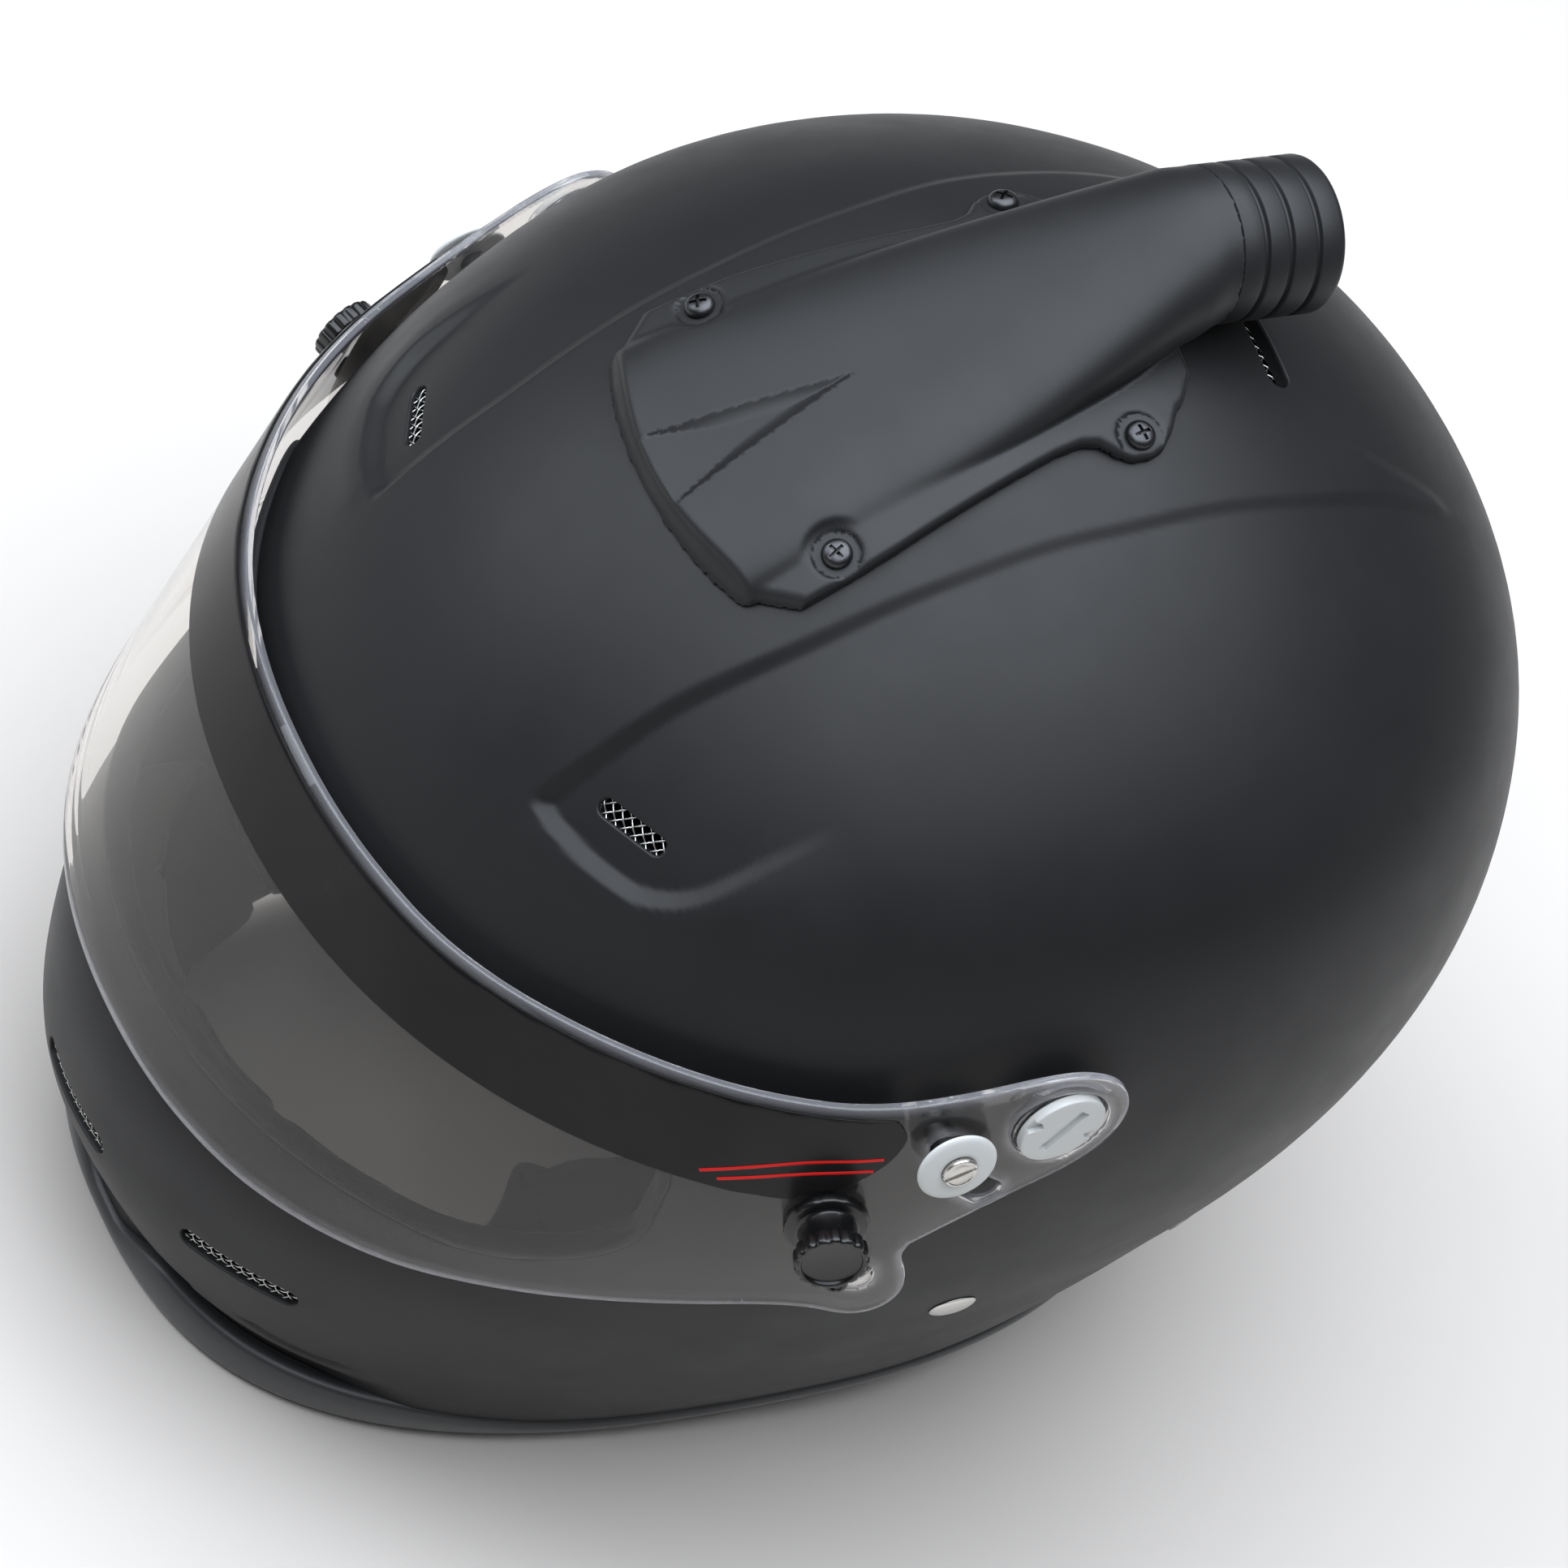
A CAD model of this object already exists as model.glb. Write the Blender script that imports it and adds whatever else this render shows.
import math

import bpy
import numpy as np
from mathutils import Matrix, Vector


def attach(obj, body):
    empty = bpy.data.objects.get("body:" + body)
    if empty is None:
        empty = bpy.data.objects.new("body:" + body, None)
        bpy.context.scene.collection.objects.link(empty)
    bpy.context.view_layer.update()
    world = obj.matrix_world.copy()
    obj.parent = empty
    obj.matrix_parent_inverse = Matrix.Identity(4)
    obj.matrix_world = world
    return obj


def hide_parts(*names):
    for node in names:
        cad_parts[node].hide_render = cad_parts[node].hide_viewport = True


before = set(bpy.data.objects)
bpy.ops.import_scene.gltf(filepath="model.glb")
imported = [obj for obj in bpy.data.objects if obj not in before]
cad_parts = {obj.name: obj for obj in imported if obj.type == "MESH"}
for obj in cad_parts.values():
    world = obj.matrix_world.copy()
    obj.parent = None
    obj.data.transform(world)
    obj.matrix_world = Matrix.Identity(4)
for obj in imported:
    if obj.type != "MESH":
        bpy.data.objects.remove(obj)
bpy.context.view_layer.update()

RNG = np.random.default_rng(7)
SHIFT = np.array([0.0, 8.1, 14.5])  # the section tables' frame to the part's frame, mm
PI = math.pi

# ------------------------------------------------------------------ shell law
LEVEL = [-13.0, 0.0, 15.0, 29.8, 45.0, 59.6, 66.5, 75.0, 94.4, 129.1, 163.9, 193.7, 218.5, 238.4, 251.3, 258.2]
HALF_W = [80.5, 87.5, 95.2, 101.6, 107.4, 112.4, 114.7, 117.5, 122.6, 126.9, 124.1, 113.6, 93.0, 66.0, 38.6, 0.0]
FRONT = [139.5, 143.0, 153.0, 160.7, 162.6, 161.2, 158.4, 155.2, 149.8, 141.0, 126.0, 105.2, 78.4, 47.5, 17.3, -16.5]
BACK = [115.0, 118.0, 122.0, 126.9, 131.2, 135.0, 136.8, 139.0, 143.3, 147.6, 142.7, 130.7, 110.3, 82.6, 53.3, 16.5]
WIDEST = [-2.0, -6.0, -9.0, -10.4, -9.2, -7.0, -5.6, -3.4, 1.7, 7.1, 10.6, 12.3, 13.7, 14.1, 14.4, 16.5]
N_FRONT = [2.7, 2.5, 2.2, 2.08, 2.078, 2.078, 2.078, 2.078, 2.078, 2.078, 2.078, 2.078, 2.078, 2.078, 2.06, 2.05]
N_BACK, CROWN, BELT = 2.054, 258.2, 129.1
WALL = 3.2


def spline(xs, ys):
    pts = sorted(zip(xs, ys))
    x = np.array([p[0] for p in pts], float)
    y = np.array([p[1] for p in pts], float)
    n, h = len(x), np.diff(x)
    m = np.eye(n)
    r = np.zeros(n)
    for i in range(1, n - 1):
        m[i, i - 1 : i + 2] = h[i - 1], 2 * (h[i - 1] + h[i]), h[i]
        r[i] = 3 * ((y[i + 1] - y[i]) / h[i] - (y[i] - y[i - 1]) / h[i - 1])
    c = np.linalg.solve(m, r)
    b = np.diff(y) / h - h * (c[1:] + 2 * c[:-1]) / 3
    d = np.diff(c) / (3 * h)
    end = b[-1] + 2 * c[-2] * h[-1] + 3 * d[-1] * h[-1] ** 2

    def f(q):
        q = np.asarray(q, float)
        i = np.clip(np.searchsorted(x, q) - 1, 0, n - 2)
        t = q - x[i]
        v = y[i] + b[i] * t + c[i] * t**2 + d[i] * t**3
        v = np.where(q < x[0], y[0] + b[0] * (q - x[0]), v)
        return np.where(q > x[-1], y[-1] + end * (q - x[-1]), v)

    return f


def meridian(z):
    z = np.asarray(z, float)
    span = CROWN - BELT
    return np.where(z >= BELT, np.arccos(np.clip((z - BELT) / span, -1, 1)), PI / 2 + (BELT - z) / span)


U_KNOTS = [float(meridian(z)) for z in LEVEL]
f_half, f_front, f_back, f_wide, f_nf = (spline(U_KNOTS, t) for t in (HALF_W, FRONT, BACK, WIDEST, N_FRONT))


def spow(v, p):
    return np.sign(v) * np.abs(v) ** p


def level_of(u):
    span = CROWN - BELT
    return np.where(u < PI / 2, BELT + span * np.cos(u), BELT - (u - PI / 2) * span)


def skin(u, th):
    c, s = np.cos(th), np.sin(th)
    w = f_wide(u)
    n = np.where(s < 0, f_nf(u), N_BACK)
    reach = np.where(s < 0, w + f_front(u), f_back(u) - w)
    return np.stack([f_half(u) * spow(c, 2 / n), w + reach * spow(s, 2 / n), level_of(u)], -1)


def unit(v):
    return v / np.maximum(np.linalg.norm(v, axis=-1, keepdims=True), 1e-12)


def normal_of(pos, u, th, e=2e-3):
    a = pos(u, th + e) - pos(u, th - e)
    b = pos(np.maximum(u - e, 1e-5), th) - pos(u + e, th)
    return unit(np.cross(a, b))


def skin_n(u, th):
    return normal_of(skin, u, th, 1e-3)


def skin_d(d):
    return lambda u, th: skin(u, th) + d * skin_n(u, th)


def side_foot(y, z, d=0.0, side=1):
    # side point of the shell at y and level z, and its outward normal
    u = float(meridian(z))
    lo, hi = -PI / 2, PI / 2
    for _ in range(50):
        mid = (lo + hi) / 2
        lo, hi = (mid, hi) if skin(u, mid)[1] < y else (lo, mid)
    p, n = skin(u, (lo + hi) / 2), skin_n(u, (lo + hi) / 2)
    m = np.array([side, 1, 1])
    return (p + d * n) * m, n * m


def front_foot(x, z, d=0.0):
    u = float(meridian(z))
    lo, hi = -PI / 2, 0.0
    for _ in range(50):
        mid = (lo + hi) / 2
        lo, hi = (mid, hi) if skin(u, mid)[0] < abs(x) else (lo, mid)
    p, n = skin(u, (lo + hi) / 2), skin_n(u, (lo + hi) / 2)
    m = np.array([1 if x >= 0 else -1, 1, 1])
    return (p + d * n) * m, n * m


def top_z(x, y):
    # height of the shell over a plan position
    x, y = np.broadcast_arrays(np.asarray(x, float), np.asarray(y, float))
    lo, hi = np.full(x.shape, 0.004), np.full(x.shape, 1.62)
    for _ in range(34):
        u = (lo + hi) / 2
        w = f_wide(u)
        n = np.where(y < w, f_nf(u), N_BACK)
        reach = np.where(y < w, w + f_front(u), f_back(u) - w)
        rho = (np.abs(x) / f_half(u)) ** n + (np.abs(y - w) / reach) ** n
        out = rho > 1
        lo, hi = np.where(out, u, lo), np.where(out, hi, u)
    return level_of((lo + hi) / 2)


def top_foot(x, y, d=0.0):
    e = 0.4
    z = float(top_z(x, y))
    g = np.array([-(top_z(x + e, y) - top_z(x - e, y)) / (2 * e), -(top_z(x, y + e) - top_z(x, y - e)) / (2 * e), 1.0])
    n = g / np.linalg.norm(g)
    return np.array([x, y, z]) + d * n, n


def smooth(a, b, x):
    t = np.clip((x - a) / (b - a), 0, 1)
    return t * t * (3 - 2 * t)


def catmull(pts, k=6):
    p = np.array(pts, float)
    q = np.vstack([2 * p[0] - p[1], p, 2 * p[-1] - p[-2]])
    t = np.linspace(0, 1, k, endpoint=False)[:, None]
    out = []
    for i in range(1, len(q) - 2):
        a, b, c, d = q[i - 1], q[i], q[i + 1], q[i + 2]
        out.append(0.5 * (2 * b + (c - a) * t + (2 * a - 5 * b + 4 * c - d) * t**2 + (3 * b - a - 3 * c + d) * t**3))
    return np.vstack(out + [p[-1:]])


class Line:
    """Polyline in space with signed distance measured along a surface."""

    def __init__(self, pts, k=5, grow=30.0):
        p = catmull(pts, k)
        if grow:
            p = np.vstack([p[0] - grow * unit(p[1] - p[0]), p, p[-1] + grow * unit(p[-1] - p[-2])])
        self.a, self.t = p[:-1], np.diff(p, axis=0)
        self.len = np.linalg.norm(self.t, axis=1)
        self.s = np.concatenate([[0], np.cumsum(self.len)])[:-1] - grow

    def near(self, P, N):
        best = np.full(len(P), 1e9)
        flat, sd, ss = np.zeros(len(P)), np.zeros(len(P)), np.zeros(len(P))
        for a, t, ln, s in zip(self.a, self.t, self.len, self.s):
            k = np.clip(((P - a) @ t) / ln**2, 0, 1)
            v = P - a - k[:, None] * t
            d = np.einsum("ij,ij->i", v, v)
            hit = d < best
            best = np.where(hit, d, best)
            flat = np.where(hit, d - np.einsum("ij,ij->i", v, N) ** 2, flat)
            side = np.einsum("ij,ij->i", v, np.cross(np.broadcast_to(t, N.shape), N))
            sd, ss = np.where(hit, np.sign(side), sd), np.where(hit, s + k * ln, ss)
        return np.sqrt(np.maximum(flat, 0)) * sd, ss


def poly_sd(Q, pts):
    # signed distance to a closed plane outline, positive inside
    p = np.asarray(pts, float)
    a, b = p, np.roll(p, -1, axis=0)
    best = np.full(len(Q), 1e18)
    inside = np.zeros(len(Q), bool)
    for (ax, ay), (bx, by) in zip(a, b):
        ex, ey = bx - ax, by - ay
        wx, wy = Q[:, 0] - ax, Q[:, 1] - ay
        k = np.clip((wx * ex + wy * ey) / (ex * ex + ey * ey + 1e-18), 0, 1)
        best = np.minimum(best, (wx - k * ex) ** 2 + (wy - k * ey) ** 2)
        cross = ((ay > Q[:, 1]) != (by > Q[:, 1])) & (Q[:, 0] < (bx - ax) * (Q[:, 1] - ay) / (by - ay + 1e-18) + ax)
        inside ^= cross
    return np.where(inside, 1, -1) * np.sqrt(best)


# ---------------------------------------------------------------- mesh making
def place(name, verts, faces, mats, body, face_mat=None, normals=None, instead=(), smooth_shade=True):
    me = bpy.data.meshes.new(name)
    co = (np.asarray(verts, float) + SHIFT) * 0.001
    me.from_pydata(co.tolist(), [], faces)
    for m in mats if isinstance(mats, (list, tuple)) else [mats]:
        me.materials.append(m)
    if face_mat is not None:
        me.polygons.foreach_set("material_index", np.asarray(face_mat, np.int32))
    me.polygons.foreach_set("use_smooth", np.full(len(me.polygons), bool(smooth_shade)))
    me.update()
    if normals is not None:
        me.normals_split_custom_set_from_vertices(unit(np.asarray(normals, float)).tolist())
    ob = bpy.data.objects.new(name, me)
    bpy.context.scene.collection.objects.link(ob)
    if body:
        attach(ob, body)
    if instead:
        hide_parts(*instead)
    return ob


class Patch:
    """Adaptive grid over (a, b), cut where phi turns negative."""

    def __init__(self, pos, phi, want, a, b, na, nb, levels=3, wrap=False, band=None):
        self.pos, self.phi = pos, phi
        S = 2**levels
        NI, NJ = na * S, nb * S
        A = lambda i: a[0] + (a[1] - a[0]) * np.asarray(i, float) / NI
        B = lambda j: b[0] + (b[1] - b[0]) * np.asarray(j, float) / NJ
        ci, cj = np.meshgrid(np.arange(na) * S, np.arange(nb) * S, indexing="ij")
        cells, leaves = np.stack([ci.ravel(), cj.ravel()], 1), []
        for lev in range(levels + 1):
            s = S >> lev
            if not len(cells):
                break
            P = pos(A(cells[:, 0] + s / 2), B(cells[:, 1] + s / 2))
            if band is not None:
                ok = band(P) > -4.0 * s * max((a[1] - a[0]) / NI, 1e-9) * 60 - 14
                cells, P = cells[ok], P[ok]
            if lev < levels:
                Q = pos(A(cells[:, 0]), B(cells[:, 1]))
                R = pos(A(cells[:, 0] + s), B(cells[:, 1] + s))
                size = np.linalg.norm(R - Q, axis=1) / 1.414
                cut = size > want(P) * 1.3
            else:
                cut = np.zeros(len(cells), bool)
            leaves += [(c[0], c[1], s) for c in cells[~cut]]
            k = cells[cut]
            h = s // 2
            cells = np.vstack([k, k + [h, 0], k + [0, h], k + [h, h]]) if len(k) else k
        L = np.array(leaves, int)
        cols = NJ if wrap else NJ + 1
        seen = np.zeros((NI + 1, cols), bool)
        for di, dj in ((0, 0), (1, 0), (0, 1), (1, 1)):
            seen[L[:, 0] + di * L[:, 2], (L[:, 1] + dj * L[:, 2]) % cols if wrap else L[:, 1] + dj * L[:, 2]] = True
        ids = np.full(seen.shape, -1, int)
        at = np.argwhere(seen)
        ids[seen] = np.arange(len(at))
        va, vb = A(at[:, 0]), B(at[:, 1])
        polys = []
        for s in sorted(set(L[:, 2].tolist())):
            c = L[L[:, 2] == s]
            k = np.arange(s)
            oi = np.concatenate([k, np.full(s, s), s - k, np.zeros(s, int)])
            oj = np.concatenate([np.zeros(s, int), k, np.full(s, s), s - k])
            I, J = c[:, :1] + oi, c[:, 1:2] + oj
            if wrap:
                J = J % cols
            got = ids[I, J]
            full = (got >= 0).sum(1) == 4
            corner = got[:, [0, s, 2 * s, 3 * s]]
            polys += corner[full].tolist()
            polys += [[v for v in row if v >= 0] for row in got[~full].tolist()]
        span = b[1] - b[0]
        f = phi(va, vb)
        keep = f >= 0
        out, cutpairs, cutid, rim = [], [], {}, []
        for poly in polys:
            flags = [keep[v] for v in poly]
            if all(flags):
                out.append(poly)
                continue
            if not any(flags):
                continue
            new, pend = [], None
            exits, enters = [], []
            n = len(poly)
            for q in range(n):
                v, w = poly[q], poly[(q + 1) % n]
                if keep[v]:
                    new.append(v)
                if keep[v] != keep[w]:
                    key = (min(v, w), max(v, w))
                    if key not in cutid:
                        cutid[key] = len(va) + len(cutpairs)
                        cutpairs.append(key)
                    new.append(cutid[key])
                    (exits if keep[v] else enters).append((len(new) - 1, cutid[key]))
            if len(exits) == 1:
                rim.append((exits[0][1], enters[0][1]))
            else:
                for pos_i, e in exits:
                    nxt = new[(pos_i + 1) % len(new)]
                    rim.append((e, nxt))
            if len(new) > 2:
                out.append(new)
        if cutpairs:
            p = np.array(cutpairs)
            a0, a1, b0, b1 = va[p[:, 0]], va[p[:, 1]], vb[p[:, 0]], vb[p[:, 1]]
            if wrap:
                b1 = np.where(b1 - b0 > span / 2, b1 - span, np.where(b0 - b1 > span / 2, b1 + span, b1))
            f0, f1 = f[p[:, 0]], f[p[:, 1]]
            lo, hi, flo, fhi = np.zeros(len(p)), np.ones(len(p)), f0, f1
            for it in range(7):
                t = lo + (hi - lo) * np.clip(flo / (flo - fhi + 1e-15), 0.02, 0.98) if it < 5 else (lo + hi) / 2
                ft = phi(a0 + (a1 - a0) * t, b0 + (b1 - b0) * t)
                same = (ft >= 0) == (flo >= 0)
                lo, flo = np.where(same, t, lo), np.where(same, ft, flo)
                hi, fhi = np.where(same, hi, t), np.where(same, fhi, ft)
            t = lo + (hi - lo) * flo / (flo - fhi + 1e-15)
            va = np.concatenate([va, a0 + (a1 - a0) * t])
            vb = np.concatenate([vb, b0 + (b1 - b0) * t])
        used = np.unique(np.concatenate([np.array(q) for q in out]))
        remap = np.full(len(va), -1)
        remap[used] = np.arange(len(used))
        self.faces = [[int(remap[v]) for v in q] for q in out]
        self.rim = [(int(remap[x]), int(remap[y])) for x, y in rim if x != y and remap[x] >= 0 and remap[y] >= 0]
        self.a, self.b = va[used], vb[used]
        self.P = pos(self.a, self.b)
        self.N = normal_of(pos, self.a, self.b)

    def rim_data(self):
        # rim vertices, and the direction in the surface that leads out of the patch
        ids = sorted({v for e in self.rim for v in e})
        at = {v: i for i, v in enumerate(ids)}
        edges = [(at[x], at[y]) for x, y in self.rim]
        ids = np.array(ids)
        a, b, e = self.a[ids], self.b[ids], 1e-3
        fa = (self.phi(a + e, b) - self.phi(a - e, b)) / (2 * e)
        fb = (self.phi(a, b + e) - self.phi(a, b - e)) / (2 * e)
        Pa = (self.pos(a + e, b) - self.pos(a - e, b)) / (2 * e)
        Pb = (self.pos(a, b + e) - self.pos(a, b - e)) / (2 * e)
        N = self.N[ids]
        aa, ab, bb = (Pa * Pa).sum(1), (Pa * Pb).sum(1), (Pb * Pb).sum(1)
        det = aa * bb - ab * ab + 1e-12
        g = ((fa * bb - fb * ab) / det)[:, None] * Pa + ((fb * aa - fa * ab) / det)[:, None] * Pb
        G = -g
        G -= (G * N).sum(1, keepdims=True) * N
        return ids, edges, self.P[ids], N, unit(G)


def strip_rows(base_ids, edges, rows, start):
    """Faces between successive rim rows; row 0 is base_ids, the others follow from start."""
    n = len(base_ids)
    faces = []
    prev = list(base_ids)
    for r in range(len(rows)):
        cur = [start + r * n + i for i in range(n)]
        for x, y in edges:
            faces.append([prev[y], prev[x], cur[x], cur[y]])
        prev = cur
    return faces, prev


def rimmed(patch, lip, depth, under=None, k=4):
    """Patch with a rounded lip and a wall; with under, a closed slab whose lower face is pos under."""
    ids, edges, P, N, G = patch.rim_data()
    lipv = np.full(len(ids), lip) if np.isscalar(lip) else lip(P)
    dep = np.full(len(ids), depth) if np.isscalar(depth) else depth(P)
    V, NN = [patch.P], [patch.N]
    rows = []
    for i in range(1, k + 1):
        al = PI / 2 * i / k
        V.append(P + (G * math.sin(al) - N * (1 - math.cos(al))) * lipv[:, None])
        NN.append(unit(N * math.cos(al) + G * math.sin(al)))
        rows.append(1)
    faces = [list(f) for f in patch.faces]
    start = len(patch.P)
    if under is None:
        V.append(P + G * lipv[:, None] - N * dep[:, None])
        NN.append(G)
        rows.append(1)
        more, last = strip_rows(ids, edges, rows, start)
        return np.vstack(V), faces + more, np.vstack(NN), last
    Q = under(patch.a, patch.b)
    QN = -normal_of(under, patch.a, patch.b)
    Qr, Nr = Q[ids], -QN[ids]
    Vb, Nb = [], []
    for i in range(k, 0, -1):
        al = PI / 2 * i / k
        Vb.append(Qr + (G * math.sin(al) + Nr * (1 - math.cos(al))) * lipv[:, None])
        Nb.append(unit(-Nr * math.cos(al) + G * math.sin(al)))
        rows.append(1)
    V += Vb
    NN += Nb
    more, last = strip_rows(ids, edges, rows, start)
    base = start + len(rows) * len(ids)
    V.append(Q)
    NN.append(QN)
    under_ids = [base + int(i) for i in ids]
    more += [[last[y], last[x], under_ids[x], under_ids[y]] for x, y in edges]
    faces += more + [[base + v for v in reversed(f)] for f in patch.faces]
    return np.vstack(V), faces, np.vstack(NN), None


def lathe(profile, seg=96, axis=(0, 0, 1), origin=(0, 0, 0), x_dir=None, closed=False):
    """Turned body from (radius, height) points; returns vertices, faces."""
    z = unit(np.array(axis, float))
    x = np.array(x_dir, float) if x_dir is not None else (np.array([1, 0, 0.0]) if abs(z[0]) < 0.9 else np.array([0, 1, 0.0]))
    x = unit(x - (x @ z) * z)
    y = np.cross(z, x)
    o = np.array(origin, float)
    V, F, rings = [], [], []
    for r, h in profile:
        if r < 1e-6:
            rings.append([len(V)])
            V.append(o + z * h)
        else:
            t = np.arange(seg) * 2 * PI / seg
            rings.append(list(range(len(V), len(V) + seg)))
            V += list(o + z * h + r * (np.cos(t)[:, None] * x + np.sin(t)[:, None] * y))
    pairs = list(zip(rings[:-1], rings[1:])) + ([(rings[-1], rings[0])] if closed else [])
    for p, q in pairs:
        for i in range(seg):
            j = (i + 1) % seg
            if len(p) == 1 and len(q) == 1:
                continue
            if len(p) == 1:
                F.append([p[0], q[i], q[j]])
            elif len(q) == 1:
                F.append([p[i], q[0], p[j]])
            else:
                F.append([p[i], q[i], q[j], p[j]])
    return np.array(V), F


def tube(points, r, seg=8, closed=False):
    """Round wire along points."""
    p = np.asarray(points, float)
    n = len(p)
    t = np.roll(p, -1, 0) - np.roll(p, 1, 0) if closed else np.gradient(p, axis=0)
    t = unit(t)
    ref = np.array([0.31, 0.87, 0.38])
    a = unit(np.cross(t, ref))
    b = np.cross(t, a)
    ang = np.arange(seg) * 2 * PI / seg
    V = (p[:, None] + r * (np.cos(ang)[None, :, None] * a[:, None] + np.sin(ang)[None, :, None] * b[:, None])).reshape(-1, 3)
    F = []
    for i in range(n if closed else n - 1):
        i2 = (i + 1) % n
        for k in range(seg):
            k2 = (k + 1) % seg
            F.append([i * seg + k, i * seg + k2, i2 * seg + k2, i2 * seg + k])
    if not closed:
        F.append(list(range(seg))[::-1])
        F.append(list(range((n - 1) * seg, n * seg)))
    return V, F


def join(parts):
    V, F, base = [], [], 0
    for v, f in parts:
        V.append(np.asarray(v, float))
        F += [[base + i for i in q] for q in f]
        base += len(v)
    return np.vstack(V), F


def mirror(v, f):
    return np.asarray(v, float) * [-1, 1, 1], [q[::-1] for q in f]


# ------------------------------------------------------------------ materials
def mat_base(name):
    m = bpy.data.materials.new(name)
    m.use_nodes = True
    nt = m.node_tree
    bsdf = nt.nodes["Principled BSDF"]
    return m, nt, bsdf


def node(nt, kind, **kw):
    n = nt.nodes.new(kind)
    for k, v in kw.items():
        if k.startswith("in_"):
            key = k[3:]
            n.inputs[int(key) if key.isdigit() else key.replace("_", " ")].default_value = v
        else:
            setattr(n, k, v)
    return n


def coords(nt, scale=(1, 1, 1)):
    tc = node(nt, "ShaderNodeTexCoord")
    mp = node(nt, "ShaderNodeMapping")
    mp.inputs["Scale"].default_value = scale
    nt.links.new(tc.outputs["Object"], mp.inputs["Vector"])
    return mp.outputs["Vector"]


def noise(nt, vec, scale, detail=4, rough=0.55, dist=0.0):
    n = node(nt, "ShaderNodeTexNoise")
    n.inputs["Scale"].default_value = scale
    n.inputs["Detail"].default_value = detail
    n.inputs["Roughness"].default_value = rough
    n.inputs["Distortion"].default_value = dist
    nt.links.new(vec, n.inputs["Vector"])
    return n.outputs["Fac"]


def ramp(nt, fac, stops):
    r = node(nt, "ShaderNodeValToRGB")
    cr = r.color_ramp
    while len(cr.elements) < len(stops):
        cr.elements.new(0.5)
    for e, (p, c) in zip(cr.elements, stops):
        e.position = p
        e.color = (*c, 1) if len(c) == 3 else c
    nt.links.new(fac, r.inputs["Fac"])
    return r.outputs["Color"]


def rough_map(nt, fac, lo, hi, bsdf, a=0.3, b=0.7):
    n = node(nt, "ShaderNodeMapRange")
    n.inputs["From Min"].default_value = a
    n.inputs["From Max"].default_value = b
    n.inputs["To Min"].default_value = lo
    n.inputs["To Max"].default_value = hi
    nt.links.new(fac, n.inputs["Value"])
    nt.links.new(n.outputs["Result"], bsdf.inputs["Roughness"])


def bump(nt, height, bsdf, strength, dist, chain=None):
    n = node(nt, "ShaderNodeBump")
    n.inputs["Strength"].default_value = strength
    n.inputs["Distance"].default_value = dist
    nt.links.new(height, n.inputs["Height"])
    if chain is not None:
        nt.links.new(chain, n.inputs["Normal"])
    nt.links.new(n.outputs["Normal"], bsdf.inputs["Normal"])
    return n.outputs["Normal"]


def coated(name, dark, light, rough, bump_mm=0.012, grain=1900, spec=0.5, sheen=0.0, coat=0.0):
    # moulded or painted plastic: slow colour drift, fine grain, faint handling marks
    m, nt, b = mat_base(name)
    v = coords(nt)
    slow = noise(nt, v, 9, 3, 0.5)
    fine = noise(nt, v, grain, 2, 0.6)
    col = ramp(nt, slow, [(0.3, dark), (0.7, light)])
    nt.links.new(col, b.inputs["Base Color"])
    mid = noise(nt, v, 46, 5, 0.65)
    rough_map(nt, mid, rough - 0.035, rough + 0.04, b)
    bump(nt, fine, b, 0.35, bump_mm * 0.001)
    b.inputs["Specular IOR Level"].default_value = spec
    b.inputs["Sheen Weight"].default_value = sheen
    b.inputs["Sheen Roughness"].default_value = 0.55
    b.inputs["Coat Weight"].default_value = coat
    return m


M = {}
M["shell"] = coated("shell_paint", (0.0102, 0.0103, 0.0110), (0.0122, 0.0123, 0.0131), 0.47, 0.010, 2300, 0.30)
M["scoop"] = coated("scoop_moulding", (0.0112, 0.0115, 0.0124), (0.0140, 0.0143, 0.0153), 0.46, 0.016, 1500, 0.35)
M["lip"] = coated("edge_rubber_skin", (0.022, 0.0225, 0.024), (0.028, 0.0285, 0.030), 0.42, 0.02, 900, 0.5, 0.15)
M["gasket"] = coated("gasket_rubber_skin", (0.006, 0.006, 0.0065), (0.010, 0.010, 0.011), 0.7, 0.05, 700, 0.35, 0.1)
M["post"] = coated("post_moulding", (0.004, 0.004, 0.0042), (0.0065, 0.0065, 0.007), 0.27, 0.02, 600, 0.5)
M["pale"] = coated("pivot_moulding", (0.56, 0.575, 0.565), (0.62, 0.635, 0.625), 0.42, 0.014, 1100, 0.45)
M["bush"] = coated("bush_moulding", (0.010, 0.010, 0.011), (0.015, 0.015, 0.016), 0.5, 0.02, 900, 0.5)


def metal(name, dark, light, rough, aniso_scale=(1, 1, 1), scratch=0.05):
    m, nt, b = mat_base(name)
    v = coords(nt, aniso_scale)
    slow = noise(nt, v, 60, 4, 0.6)
    fine = noise(nt, v, 1800, 3, 0.7)
    nt.links.new(ramp(nt, slow, [(0.3, dark), (0.7, light)]), b.inputs["Base Color"])
    b.inputs["Metallic"].default_value = 1.0
    rough_map(nt, fine, rough - 0.06, rough + 0.09, b)
    bump(nt, fine, b, 0.3, scratch * 0.001)
    return m


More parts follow.
